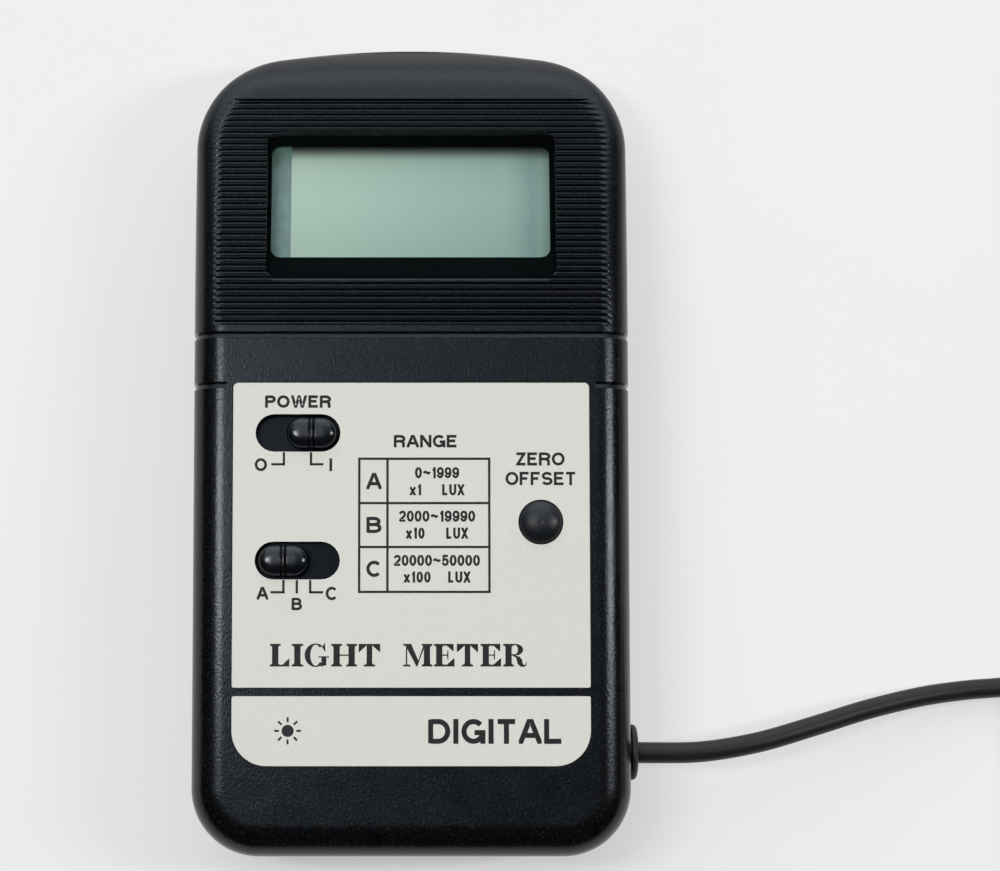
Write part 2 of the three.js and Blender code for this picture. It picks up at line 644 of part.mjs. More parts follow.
const relief = { from: HEAD.y - 8, foot: 1.9, z: 4 };
add("lead_end", tube([
  [130.3, -20.9, 1.7], [133.4, -18.4, 1.7], [135.7, -15, 1.9], [HEAD.x - 0.1, -11.6, 2.8],
  [HEAD.x, -9, 3.7], [HEAD.x, relief.from - 0.3, relief.z],
], LEAD, 10), paint.rubber);

// ---- Detector head ----

const head = new THREE.Group();
head.position.set(HEAD.x, HEAD.y, 0);
meter.add(head);
const headSplit = 4;

function headShape(inset) {
  const reach = HEAD.width / 2 - inset;
  return roundedShape(-reach, reach, inset, HEAD.length - inset, 6 - inset * 0.5, 13 - inset * 0.5);
}

function headShell(z0, z1, floor, roof) {
  const skin = plate(headShape(0), z0, z1, 6);
  return cut(skin, plate(headShape(2), floor, roof, 6));
}

const reliefBore = new THREE.CylinderGeometry(1.9, 1.9, 8, 14).translate(0, 1, relief.z);
const headPosts = [[-21, 10], [21, 10], [-19, 74.5], [19, 74.5]];
const headFloor = 1.6;

function headRear() {
  const shell = headShell(0, headSplit - 0.15, headFloor, headSplit + 1);
  const posts = headPosts.map(([x, y]) => disc(x, y, 2.9, headFloor - 0.4, headSplit - 0.2, 14));
  const seats = headPosts.flatMap(([x, y]) => [
    disc(x, y, 2.05, -1, 1.4, 14),
    disc(x, y, 1.2, 0, headSplit + 1, 10),
  ]);
  return cut(joined(shell, ...posts), ...seats, reliefBore.clone());
}

function headFront() {
  const shell = headShell(headSplit + 0.15, HEAD.thickness, headSplit - 1, HEAD.thickness - 1.6);
  const posts = headPosts.map(([x, y]) => disc(x, y, 2.2, headSplit + 0.3, HEAD.thickness - 1.2, 14));
  const bores = headPosts.map(([x, y]) => disc(x, y, 1.15, 0, HEAD.thickness - 1.2, 10));
  const eye = disc(0, SENSOR.y, SENSOR.opening, headSplit, HEAD.thickness + 1, 36);
  return cut(joined(shell, ...posts), ...bores, reliefBore.clone(), eye);
}
add("sensor_rear_shell", headRear(), paint.casing, head);
add("sensor_front_shell", headFront(), paint.casing, head);

const ringProfile = [
  [SENSOR.dome - 1.6, 7.2], [SENSOR.opening - CLEARANCE, 7.2], [SENSOR.opening - CLEARANCE, HEAD.thickness + 0.1],
  [SENSOR.opening + 2.4, HEAD.thickness + 0.1], [SENSOR.opening + 2, HEAD.thickness + 1.1],
  [SENSOR.dome - 0.6, HEAD.thickness + 1.4], [SENSOR.dome - 1.6, HEAD.thickness + 0.9], [SENSOR.dome - 1.6, 7.2],
];
add("sensor_ring", turned(ringProfile, 36), paint.glossBlack, head).position.set(0, SENSOR.y, 0);

// The diffuser is a shallow white dome on a thin flange below the ring.
const DOME_WALL = 1.2;
const FLANGE = { radius: SENSOR.opening - 0.6, low: 5.9, high: 6.9 };
const domeRadius = SENSOR.dome - 1.9;
const domeOuter = [];
for (let i = 0; i < 6; i += 1) {
  const angle = (Math.PI / 2) * (i / 6);
  domeOuter.push([domeRadius * Math.cos(angle), HEAD.thickness + SENSOR.domeRise * Math.sin(angle)]);
}
domeOuter.push([0, HEAD.thickness + SENSOR.domeRise]);
const domeInner = domeOuter.map(([r, z]) => [Math.max(0, r - DOME_WALL), z - DOME_WALL]).reverse();
add("diffuser_dome", turned([
  ...domeInner, [domeRadius - DOME_WALL, FLANGE.low], [FLANGE.radius, FLANGE.low],
  [FLANGE.radius, FLANGE.high], [domeRadius, FLANGE.high], ...domeOuter,
], 32), paint.diffuser, head).position.set(0, SENSOR.y, 0);

add("colour_filter", disc(0, 0, 6.4, 5, 5.7, 20), paint.filter, head).position.set(0, SENSOR.y, 0);
add("photodiode", joined(
  block(-5, 5, -5, 5, 3.55, 4.6),
  disc(0, 0, 3.6, 4.4, 4.75, 16),
), paint.glossBlack, head).position.set(0, SENSOR.y, 0);
add("sensor_board", block(-13, 13, SENSOR.y - 12, SENSOR.y + 12, 2, 3.4), paint.board, head);

// The strain relief tapers outside the head, necks down in the bore and has a lip inside.
const reliefProfile = [
  [0, -8], [relief.foot, -8], [2.6, -1.6], [2.6, -0.3], [1.6, -0.3],
  [1.6, 2.3], [2.15, 2.3], [2.15, 3.2], [0, 3.2],
];
add("sensor_strain_relief", turned(reliefProfile, 14).rotateX(-Math.PI / 2), paint.rubber, head)
  .position.set(0, 0, relief.z);
add("sensor_lead_inside", tube([
  [0, 3.8, relief.z], [0, 8, relief.z], [3, 20, 2.9], [3, 34, 2.7], [2, 43.4, 2.7],
], 1.2, 14, 6), paint.rubber, head);
for (const [i, [x, y]] of headPosts.entries()) {
  add(`sensor_screw_${i + 1}`, screw(1.8, 1, 0.85, 4.2), paint.steel, head).position.set(x, y, 0.35);
}

export default meter;
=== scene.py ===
"""A handheld light meter with a detector head on a lead, in its studio setting.

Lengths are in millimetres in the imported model's frame and become metres when a mesh is made: the meter
lies on its back, +Z comes out of its face, +Y points to its display end, +X to its lead side.
"""

import json
import math

import bpy
import numpy as np
from mathutils import Matrix, Vector
from mathutils.geometry import delaunay_2d_cdt


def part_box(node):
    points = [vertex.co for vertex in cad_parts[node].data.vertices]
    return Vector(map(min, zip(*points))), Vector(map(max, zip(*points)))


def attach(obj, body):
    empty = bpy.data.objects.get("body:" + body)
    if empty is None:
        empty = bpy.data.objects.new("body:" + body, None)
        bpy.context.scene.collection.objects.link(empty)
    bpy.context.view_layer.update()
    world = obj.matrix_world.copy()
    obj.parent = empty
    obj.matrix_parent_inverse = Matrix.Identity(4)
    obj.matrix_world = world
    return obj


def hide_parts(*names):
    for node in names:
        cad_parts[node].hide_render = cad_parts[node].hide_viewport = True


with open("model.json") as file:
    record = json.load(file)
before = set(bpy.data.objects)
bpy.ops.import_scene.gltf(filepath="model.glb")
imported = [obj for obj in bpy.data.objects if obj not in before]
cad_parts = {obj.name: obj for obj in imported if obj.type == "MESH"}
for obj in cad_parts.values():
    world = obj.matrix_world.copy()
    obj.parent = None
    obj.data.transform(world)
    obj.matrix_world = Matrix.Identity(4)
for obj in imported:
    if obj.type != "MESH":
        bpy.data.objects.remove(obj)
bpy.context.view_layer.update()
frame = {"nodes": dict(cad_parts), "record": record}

MM = 0.001

# ---- Driving dimensions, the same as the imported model's ----

LENGTH = 131.0
WIDTH = 70.0
DEPTH = 25.0
WALL = 2.2
BOTTOM_CORNER = 11.0
TOP_CORNER = 16.3
TOP_ARCH = 150.0
PARTING_LOW = 11.85
PARTING_HIGH = 12.15
FLAT_FACE_END = 17.0
FACE_ARC = 128.0
TOP_EDGE_START = 57.5
TOP_EDGE_ARC = 7.0
TOP_EDGE_REACH = 9.0
WALL_LEAN = 0.3
FILLET_WIDTH = 5.2
FILLET_HEIGHT = 5.4
WINDOW = {"y": 38.4, "width": 46.2, "height": 24.6, "corner": 1.8}
MASK = {"x": -0.12, "y": 1.9, "width": 44.95, "height": 19.2, "corner": 1.6}
LCD = {"y": 1.4, "width": 50.8, "height": 28.0}
CONTROL_LABEL = {"half": 28.1, "bottom": -38.7, "top": 9.3, "corner": 0.8, "foot": 0.35}
NAME_LABEL = {"half": 28.1, "bottom": -50.9, "top": -40.0, "corner": 0.35, "foot": 5.5}
LABEL_LOW = 24.6
LABEL_TOP = 24.9
POCKET_FLOOR = 24.55
SLOT_WIDTH = 13.3
SLOT_HEIGHT = 5.85
POWER_SLOT = (-17.85, 1.33)
RANGE_SLOT = (-17.9, -18.8)
POWER_REST = 2.15
RANGE_REST = -2.175
ZERO = {"x": 20.4, "y": -12.75, "radius": 3.44, "top": 26.3}
FACE_GROOVE = (16.4, 17.5)
SIDE_GROOVE = (8.4, 9.5)
SIDE_GROOVE_INSET = 5.9
GROOVE_DEPTH = 0.5
RIDGES = {"count": 38, "first": 18.42, "last": 55.65, "depth": 0.38}
SCREWS = {
    "case_screw_top_left": (-25.0, 57.3, 16.7),
    "case_screw_top_right": (25.0, 57.3, 16.7),
    "case_screw_bottom_left": (-28.6, -27.6, 23.2),
    "case_screw_bottom_right": (28.6, -27.6, 23.2),
}
SCREW_SEAT = 5.6
DOOR = {"side": 25.8, "top": -31.0, "height": 8.2, "gap": 0.3}
GLAND = {"x": 35.25, "y": -49.1, "z": 12.0}
LEAD = 3.3
COIL = {"x": 129.0, "y": -47.0}
HEAD = {"x": 136.7, "y": 2.0, "length": 82.0, "width": 55.0, "thickness": 8.0, "sensor": 56.0}

# ---- Meshes ----


def build(name, points, faces, material, sharp=32):
    """An object from points in mm; edges bent by more than sharp degrees stay crisp."""
    mesh = bpy.data.meshes.new(name)
    mesh.from_pydata([tuple(float(c) * MM for c in p) for p in points], [], faces)
    made = bpy.data.objects.new(name, mesh)
    bpy.context.scene.collection.objects.link(made)
    mesh.materials.append(material)
    return smooth(made, sharp)


def smooth(made, sharp=32):
    made.data.polygons.foreach_set("use_smooth", [True] * len(made.data.polygons))
    made.data.set_sharp_from_angle(angle=math.radians(sharp))
    return made


def settle(made):
    """Turns a piece's modifiers into its mesh."""
    graph = bpy.context.evaluated_depsgraph_get()
    mesh = bpy.data.meshes.new_from_object(made.evaluated_get(graph))
    made.modifiers.clear()
    old = made.data
    made.data = mesh
    mesh.name = made.name
    bpy.data.meshes.remove(old)
    return made


def boolean(body, tool, operation):
    change = body.modifiers.new("boolean", "BOOLEAN")
    change.solver = "MANIFOLD"
    change.operation = operation
    change.object = tool
    settle(body)
    bpy.data.objects.remove(tool)
    return body


def cut(body, *tools):
    for tool in tools:
        boolean(body, tool, "DIFFERENCE")
    return smooth(body)


def fuse(body, *tools):
    for tool in tools:
        boolean(body, tool, "UNION")
    return smooth(body)


def bevelled(made, width, angle=40):
    change = made.modifiers.new("bevel", "BEVEL")
    change.width = width * MM
    change.segments = 2
    change.limit_method = "ANGLE"
    change.angle_limit = math.radians(angle)
    change.harden_normals = False
    return smooth(settle(made), 50)


def loft(rings, low_cap=True):
    """Points and faces through rings whose point i mirrors point n-1-i, capped by strips."""
    count = len(rings[0])
    points = np.concatenate([np.asarray(r, float) for r in rings])
    faces = []
    for r in range(len(rings) - 1):
        for i in range(count):
            a = r * count + i
            b = r * count + (i + 1) % count
            faces.append((a, b, b + count, a + count))
    top = (len(rings) - 1) * count
    for base in (0, top) if low_cap else (top,):
        for i in range(count // 2 - 1):
            strip = (base + i, base + i + 1, base + count - 2 - i, base + count - 1 - i)
            faces.append(strip if base else strip[::-1])
    return points, faces


def bow(x, y, rx, ry, start, end, count):
    """Points on part of an ellipse, its angles in degrees."""
    angles = np.radians(np.linspace(start, end, count))
    return [(x + rx * math.cos(a), y + ry * math.sin(a)) for a in angles]


def arc(x, y, radius, start, end, steps):
    return bow(x, y, radius, radius, start, end, steps + 1)


def rounded(x0, x1, y0, y1, foot, top=None, steps=6):
    """The outline of a rectangle with round corners, anticlockwise."""
    top = foot if top is None else top
    return (
        arc(x1 - foot, y0 + foot, foot, -90, 0, steps)
        + arc(x1 - top, y1 - top, top, 0, 90, steps)
        + arc(x0 + top, y1 - top, top, 90, 180, steps)
        + arc(x0 + foot, y0 + foot, foot, 180, 270, steps)
    )


def centred(box, grow=0.0, steps=6):
    x, y = box.get("x", 0.0), box.get("y", 0.0)
    half, tall = box["width"] / 2 + grow, box["height"] / 2 + grow
    return rounded(x - half, x + half, y - tall, y + tall, box["corner"] + grow, steps=steps)


def stadium(centre, grow=0.0):
    """The outline of a switch slot."""
    x, y = centre
    radius = SLOT_HEIGHT / 2 + grow
    reach = SLOT_WIDTH / 2 - SLOT_HEIGHT / 2
    return arc(x + reach, y, radius, -90, 90, 12) + arc(x - reach, y, radius, 90, 270, 12)


def rectangle(x0, x1, y0, y1):
    return [(x0, y0), (x1, y0), (x1, y1), (x0, y1)]


def stack(name, layers, material):
    """A closed solid from outlines of the same number of points at rising heights."""
    count = len(layers[0][0])
    points = [(x, y, z) for outline, z in layers for x, y in outline]
    faces = [tuple(range(count))[::-1]]
    for r in range(len(layers) - 1):
        for i in range(count):
            a, b = r * count + i, r * count + (i + 1) % count
            faces.append((a, b, b + count, a + count))
    faces.append(tuple(range((len(layers) - 1) * count, len(layers) * count)))
    return build(name, points, faces, material)


def prism(name, outline, z0, z1, material):
    return stack(name, [(outline, z0), (outline, z1)], material)


def turned(name, profile, material, segments, sharp=32):
    """A solid of revolution about Z from (radius, height) pairs, from the axis or closed on itself."""
    closed = profile[0] == profile[-1]
    rows = profile[:-1] if closed else profile
    points = []
    starts = []
    for radius, z in rows:
        starts.append(len(points))
        if radius < 1e-6:
            points.append((0.0, 0.0, z))
            continue
        for i in range(segments):
            angle = 2 * math.pi * i / segments
            points.append((radius * math.cos(angle), radius * math.sin(angle), z))
    faces = []
    pairs = list(zip(range(len(rows)), range(1, len(rows))))
    if closed:
        pairs.append((len(rows) - 1, 0))
    for low, high in pairs:
        one, two = rows[low][0] < 1e-6, rows[high][0] < 1e-6
        for i in range(segments):
            j = (i + 1) % segments
            a, b = starts[low] + (0 if one else i), starts[low] + (0 if one else j)
            c, d = starts[high] + (0 if two else j), starts[high] + (0 if two else i)
            face = [a] if one else [a, b]
            face += [c] if two else [c, d]
            if len(face) > 2:
                faces.append(tuple(face))
    return build(name, points, faces, material, sharp)


def place(made, x=0.0, y=0.0, z=0.0, turn=None):
    """Moves a mesh's points, after a turn, so that the object itself stays at the origin."""
    matrix = Matrix.Translation(Vector((x, y, z)) * MM)
    made.data.transform(matrix @ turn if turn is not None else matrix)
    return made


def tube(name, path, radii, material, sides):
    """A round tube along a path, with a radius for each point."""
    tangents = np.gradient(path, axis=0)
    tangents /= np.linalg.norm(tangents, axis=1)[:, None]
    across = np.cross(tangents[0], (0.0, 0.0, 1.0))
    points = []
    for centre, ahead, size in zip(path, tangents, radii):
        across = across - ahead * (across @ ahead)
        across /= np.linalg.norm(across)
        over = np.cross(ahead, across)
        for i in range(sides):
            angle = -2 * math.pi * i / sides
            points.append(centre + size * (math.cos(angle) * across + math.sin(angle) * over))
    faces = [tuple(range(sides))]
    for r in range(len(path) - 1):
        for i in range(sides):
            a, b = r * sides + i, r * sides + (i + 1) % sides
            faces.append((a, a + sides, b + sides, b))
    faces.append(tuple(range((len(path) - 1) * sides, len(path) * sides))[::-1])
    return build(name, points, faces, material, 60)


def curve_through(points, step):
    """A smooth line through points (a centripetal Catmull-Rom curve), sampled about every step mm."""
    p = np.asarray(points, float)
    p = np.vstack([2 * p[0] - p[1], p, 2 * p[-1] - p[-2]])
    knots = np.concatenate([[0], np.cumsum(np.sqrt(np.linalg.norm(np.diff(p, axis=0), axis=1)))])
    line = []
    for k in range(1, len(p) - 2):
        t0, t1, t2, t3 = knots[k - 1:k + 3]
        pieces = max(2, int(np.linalg.norm(p[k + 1] - p[k]) / step))
        for t in np.linspace(t1, t2, pieces, endpoint=False):
            a1 = (t1 - t) / (t1 - t0) * p[k - 1] + (t - t0) / (t1 - t0) * p[k]
            a2 = (t2 - t) / (t2 - t1) * p[k] + (t - t1) / (t2 - t1) * p[k + 1]
            a3 = (t3 - t) / (t3 - t2) * p[k + 1] + (t - t2) / (t3 - t2) * p[k + 2]
            b1 = (t2 - t) / (t2 - t0) * a1 + (t - t0) / (t2 - t0) * a2
            b2 = (t3 - t) / (t3 - t1) * a2 + (t - t1) / (t3 - t1) * a3
            line.append((t2 - t) / (t2 - t1) * b1 + (t - t1) / (t2 - t1) * b2)
    line.append(p[-2])
    return np.array(line)


# ---- Materials ----


class Paint:
    """Builds one node material; its coordinates are the object's own, in metres."""

    def __init__(self, name, colour, roughness, metallic=0.0, specular=0.5):
        self.material = bpy.data.materials.new(name)
        self.material.use_nodes = True
        self.nodes = self.material.node_tree.nodes
        self.links = self.material.node_tree.links
        self.shader = self.nodes["Principled BSDF"]
        self.shader.inputs["Base Color"].default_value = (*colour, 1)
        self.shader.inputs["Roughness"].default_value = roughness
        self.shader.inputs["Metallic"].default_value = metallic
        self.shader.inputs["Specular IOR Level"].default_value = specular
        self.place = self.nodes.new("ShaderNodeTexCoord").outputs["Object"]
        self.material.diffuse_color = (*colour, 1)

    def noise(self, size, detail, stretch=(1, 1, 1)):
        """Noise whose blobs are about size mm across."""
        mapping = self.nodes.new("ShaderNodeMapping")
        mapping.inputs["Scale"].default_value = [1 / s for s in stretch]
        self.links.new(self.place, mapping.inputs["Vector"])
        made = self.nodes.new("ShaderNodeTexNoise")
        made.inputs["Scale"].default_value = 1000 / size
        made.inputs["Detail"].default_value = detail
        self.links.new(mapping.outputs[0], made.inputs["Vector"])
        return made.outputs["Fac"]

    def ramp(self, source, stops):
        made = self.nodes.new("ShaderNodeValToRGB")
        elements = made.color_ramp.elements
        while len(elements) < len(stops):
            elements.new(0.5)
        for element, (position, colour) in zip(elements, stops):
            element.position = position
            element.color = (*colour, 1)
        self.links.new(source, made.inputs["Fac"])
        return made.outputs["Color"]

    def grey(self, source, stops):
        return self.ramp(source, [(at, (v, v, v)) for at, v in stops])

    def colour(self, source):
        self.links.new(source, self.shader.inputs["Base Color"])

    def rough(self, source):
        self.links.new(source, self.shader.inputs["Roughness"])

    def bump(self, source, depth, strength):
        """Adds relief of about depth mm."""
        made = self.nodes.new("ShaderNodeBump")
        made.inputs["Strength"].default_value = strength
        made.inputs["Distance"].default_value = depth * MM
        self.links.new(source, made.inputs["Height"])
        self.links.new(made.outputs["Normal"], self.shader.inputs["Normal"])

    def along(self, name, low, high):
        """0 to 1 along one axis of the object between two places in mm."""
        apart = self.nodes.new("ShaderNodeSeparateXYZ")
        self.links.new(self.place, apart.inputs[0])
        span = self.nodes.new("ShaderNodeMapRange")
        span.inputs["From Min"].default_value = low * MM
        span.inputs["From Max"].default_value = high * MM
        self.links.new(apart.outputs[name], span.inputs["Value"])
        return span.outputs[0]


def grained_case():
    """Black plastic with a fine moulded grain, whose peaks are painted lighter: painted glints for the
    light they catch.
    """
    paint = Paint("casing_grain", (0.004, 0.005, 0.0055), 0.26, specular=0.34)
    grain_and_glints = paint.noise(0.3, 2, (1, 1.3, 1))
    patches = paint.noise(5, 2)
    # The grain's peaks are painted lighter: painted highlights standing in for tiny glints of light on
    # the grain.
    paint.colour(paint.ramp(grain_and_glints, [
        (0.4, (0.0011, 0.0013, 0.0014)), (0.58, (0.0028, 0.0033, 0.0036)), (0.72, (0.016, 0.018, 0.02)),
    ]))
    paint.rough(paint.grey(patches, [(0.3, 0.19), (0.7, 0.25)]))
    paint.shader.inputs["Specular Tint"].default_value = (0.82, 0.89, 1.0, 1)
    paint.bump(grain_and_glints, 0.027, 1.0)
    return paint.material


def plain(name, colour, roughness, size, depth, metallic=0.0, spread=0.12, specular=0.5):
    """A moulded or cut surface with slight mottling in colour, gloss and relief."""
    paint = Paint(name, colour, roughness, metallic, specular)
    mottle = paint.noise(size, 3)
    dark = tuple(c * (1 - spread) for c in colour)
    light = tuple(min(1.0, c * (1 + spread)) for c in colour)
    paint.colour(paint.ramp(mottle, [(0.3, dark), (0.7, light)]))
    low, high = roughness * (1 - spread), min(1.0, roughness * (1 + spread))
    paint.rough(paint.grey(paint.noise(size * 4, 2), [(0.3, low), (0.7, high)]))
    if depth:
        paint.bump(mottle, depth, 0.6)
    return paint.material


def label_film():
    paint = Paint("label_film", (0.66, 0.67, 0.6), 0.5, specular=0.35)
    speckle = paint.noise(0.5, 4)
    paint.colour(paint.ramp(speckle, [(0.3, (0.795, 0.78, 0.7)), (0.7, (0.835, 0.82, 0.74))]))
    paint.bump(speckle, 0.006, 0.4)
    return paint.material


def clear_window():
    """Clear sheet: what is behind shows through it, and its surface reflects by the angle."""
    paint = Paint("window_sheet", (0.9, 0.95, 0.93), 0.04)
    paint.nodes.remove(paint.shader)
    through = paint.nodes.new("ShaderNodeBsdfTransparent")
    through.inputs["Color"].default_value = (0.982, 0.99, 0.986, 1)
    gloss = paint.nodes.new("ShaderNodeBsdfGlossy")
    dust = paint.grey(paint.noise(0.7, 6, (1, 3, 1)), [(0.62, 0.03), (0.72, 0.25)])
    paint.links.new(dust, gloss.inputs["Roughness"])
    edge = paint.nodes.new("ShaderNodeFresnel")
    edge.inputs["IOR"].default_value = 1.08
    outside = paint.nodes.new("ShaderNodeMath")
    outside.operation = "SUBTRACT"
    outside.use_clamp = True
    paint.links.new(edge.outputs[0], outside.inputs[0])
    paint.links.new(paint.nodes.new("ShaderNodeNewGeometry").outputs["Backfacing"], outside.inputs[1])
    mix = paint.nodes.new("ShaderNodeMixShader")
    paint.links.new(outside.outputs[0], mix.inputs["Fac"])
    paint.links.new(through.outputs[0], mix.inputs[1])
    paint.links.new(gloss.outputs[0], mix.inputs[2])
    paint.links.new(mix.outputs[0], paint.nodes["Material Output"].inputs["Surface"])
    return paint.material


def lcd_glass():
    """The blank display: lighter on the left, which is painted light, with a faint band near its right
    end, and painted shade over its top.
    """
    paint = Paint("lcd_polariser", (0.34, 0.46, 0.4), 0.3, specular=0.4)
    # Lighter towards the left: painted light standing in for the left lamp's nearer glow; then a faint
    # band near the right end.
    across = paint.ramp(paint.along("X", -22, 22), [
        (0, (0.53, 0.7, 0.58)), (0.87, (0.345, 0.5, 0.43)), (0.945, (0.305, 0.465, 0.415)),
        (0.972, (0.35, 0.52, 0.455)), (0.988, (0.31, 0.475, 0.41)), (1, (0.27, 0.41, 0.35)),
    ])
    # Painted shade: darkest just under the mask's top edge, where its shadow falls on the display, and a
    # little darker towards the bottom.
    painted_shade = paint.grey(paint.along("Y", 31, 49), [
        (0, 0.77), (0.5, 0.94), (0.82, 1.0), (0.87, 0.9), (0.903, 0.62),
        (0.935, 0.32), (0.96, 0.13), (0.985, 0.02),
    ])
    shaded = paint.nodes.new("ShaderNodeVectorMath")
    shaded.operation = "MULTIPLY"
    paint.links.new(across, shaded.inputs[0])
    paint.links.new(painted_shade, shaded.inputs[1])
    paint.colour(shaded.outputs[0])
    paint.bump(paint.noise(0.4, 2), 0.002, 0.3)
    return paint.material


def black_lead():
    paint = Paint("lead_skin", (0.013, 0.0135, 0.014), 0.42, specular=0.3)
    mottle = paint.noise(3, 3)
    paint.colour(paint.ramp(mottle, [(0.3, (0.012, 0.0125, 0.013)), (0.7, (0.017, 0.0175, 0.018))]))
    paint.bump(paint.noise(0.25, 2), 0.01, 0.4)
    return paint.material


def opal():
    paint = Paint("diffuser_opal", (0.84, 0.84, 0.8), 0.35)
    paint.shader.inputs["Subsurface Weight"].default_value = 0.3
    paint.shader.inputs["Subsurface Radius"].default_value = (0.002, 0.002, 0.0018)
    paint.colour(paint.ramp(paint.noise(8, 2), [(0.3, (0.82, 0.82, 0.78)), (0.7, (0.87, 0.87, 0.84))]))
    return paint.material


def brushed(name, colour, roughness=0.3):
    """Metal with fine lines along Y."""
    paint = Paint(name, colour, roughness, metallic=1.0)
    lines = paint.noise(0.15, 3, (1, 14, 1))
    paint.colour(paint.ramp(lines, [(0.3, tuple(c * 0.8 for c in colour)), (0.7, colour)]))
    paint.bump(lines, 0.004, 0.4)
    return paint.material


casing = grained_case()
knob_black = plain("knob_moulding", (0.003, 0.0045, 0.007), 0.2, 1.2, 0.004, spread=0.1)
shutter_black = plain("shutter_gloss", (0.0045, 0.0085, 0.015), 0.16, 1.5, 0.003, specular=0.13)
dome_black = plain(
    "dome_moulding", (0.0065, 0.0085, 0.0115), 0.4, 1.2, 0.004, spread=0.1, specular=0.42,
)
label_cream = label_film()
ink = plain("label_ink", (0.012, 0.0125, 0.013), 0.5, 0.4, 0.0, spread=0.35, specular=0.3)
window_clear = clear_window()
lcd_green = lcd_glass()
lcd_dark = plain("lcd_bare_glass", (0.18, 0.29, 0.26), 0.25, 1.5, 0.002)
bezel_black = plain("mask_gloss", (0.0006, 0.002, 0.0024), 0.45, 1.0, 0.003, specular=0.02)
rubber = plain("soft_black", (0.014, 0.0145, 0.015), 0.55, 0.7, 0.01)
lead_black = black_lead()
steel = brushed("zinc_plate", (0.58, 0.59, 0.6))
reflector = brushed("lcd_backing", (0.6, 0.66, 0.62), 0.45)
board_green = plain("solder_mask", (0.025, 0.14, 0.06), 0.35, 1.6, 0.01, spread=0.25)
battery_skin = plain("battery_jacket", (0.09, 0.12, 0.16), 0.3, 3, 0.01, metallic=0.5, spread=0.1)
foam = plain("foam_cells", (0.035, 0.035, 0.037), 0.95, 0.6, 0.15, spread=0.4)
red_plastic = plain("red_moulding", (0.36, 0.018, 0.014), 0.3, 2, 0.005)
blue_plastic = plain("blue_moulding", (0.025, 0.1, 0.36), 0.3, 2, 0.005)
chip_black = plain("epoxy_black", (0.014, 0.014, 0.015), 0.6, 0.3, 0.02)
diffuser = opal()
filter_glass = plain("filter_glass", (0.16, 0.34, 0.22), 0.08, 3, 0.0)

SLOT_PAINT = {
    "casing": casing, "knob_black": knob_black, "label_cream": label_cream,
    "window_clear": window_clear, "lcd_glass": lcd_green, "reflector": reflector,
    "bezel_black": bezel_black, "board_green": board_green, "steel": steel, "rubber": rubber,
    "lead_black": lead_black, "battery_shell": battery_skin, "foam": foam,
    "red_plastic": red_plastic, "blue_plastic": blue_plastic, "chip_black": chip_black,
    "diffuser": diffuser, "filter_glass": filter_glass,
}
for part in frame["record"]["subparts"]:
    node = frame["nodes"][part["node"]]
    node.data.materials.clear()
    node.data.materials.append(SLOT_PAINT[part["material_slot"]])
    smooth(node, 28)


def finish_piece(made, body="case", replaces=()):
    """Tells the frame what a finished piece moves with and stands for."""
    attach(made, body)
    if replaces:
        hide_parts(*replaces)
    return made


# ---- The case ----


def face_height(y):
    """The height of the face at y: flat, then falling in an arc, then rounded off at the display end."""
    fall = np.maximum(0, y - FLAT_FACE_END) ** 2 / (2 * FACE_ARC)
    past = np.clip((y - TOP_EDGE_START) / TOP_EDGE_REACH, 0, 0.999)
    return DEPTH - fall - TOP_EDGE_ARC * (1 - np.sqrt(1 - past ** 2))


ARCH_Y = LENGTH / 2 - TOP_ARCH
CORNER_X = WIDTH / 2 - TOP_CORNER
CORNER_Y = ARCH_Y + math.sqrt((TOP_ARCH - TOP_CORNER) ** 2 - CORNER_X ** 2)
MEET = math.degrees(math.atan2(CORNER_Y - ARCH_Y, CORNER_X))


def half_outline(inset, rows):
    """The right half of the outline moved in by inset, from the foot to the top.

    Rows are the heights at which every inset has a point, so that ridges and grooves run level.
    """
    side = WIDTH / 2
    centre = side - BOTTOM_CORNER
    points = arc(centre, -LENGTH / 2 + BOTTOM_CORNER, BOTTOM_CORNER - inset, -90, 0, 20)
    radius = TOP_CORNER - inset
    for y in rows:
        up = max(0.0, y - CORNER_Y)
        points.append((CORNER_X + math.sqrt(radius ** 2 - up ** 2), y))
    start = math.degrees(math.asin(max(0.0, rows[-1] - CORNER_Y) / radius))
    points += arc(CORNER_X, CORNER_Y, radius, start, MEET, 16)[1:]
    points += arc(0, ARCH_Y, TOP_ARCH - inset, MEET, 90 - (90 - MEET) * 0.06, 12)[1:]
    return np.array(points)


def whole(right, z):
    """A ring from its right half and its heights, mirrored to the left."""
    ring = np.column_stack([right, z])
    return np.vstack([ring, ring[::-1] * (-1, 1, 1)])


PITCH = (RIDGES["last"] - RIDGES["first"]) / (RIDGES["count"] - 1)
RIDGE_PHASES = (-0.36, -0.18, -0.04, 0.04, 0.18, 0.36, 0.5)


def groove_rows(groove):
    """The levels that a groove's corners need."""
    low, high = groove
    return [low - 0.12, low, low + 0.12, low + 0.2, (low + high) / 2, high - 0.08, high, high + 0.12]


def ridge_rows():
    rows = []
    for i in range(RIDGES["count"]):
        crest = RIDGES["first"] + i * PITCH
        rows += [crest + phase * PITCH for phase in RIDGE_PHASES]
    return rows


def ridge_drop(y):
    """How far the ridged face lies below the smooth one."""
    first, last = RIDGES["first"], RIDGES["last"]
    turns = (y - first) / PITCH
    phase = np.where(y > last, (y - last) / PITCH, np.abs(turns - np.round(turns)))
    share = np.interp(phase, [0.04, 0.18, 0.36, 0.5], [0, 0.52, 0.9, 1])
    return RIDGES["depth"] * np.where((y >= first) & (y < last + 0.45), share, 0)


def groove_drop(y, groove):
    low, high = groove
    shares = [0, 0.3, 0.36, 1, 0]
    return GROOVE_DEPTH * np.interp(y, [low, low + 0.12, low + 0.2, high - 0.08, high], shares)


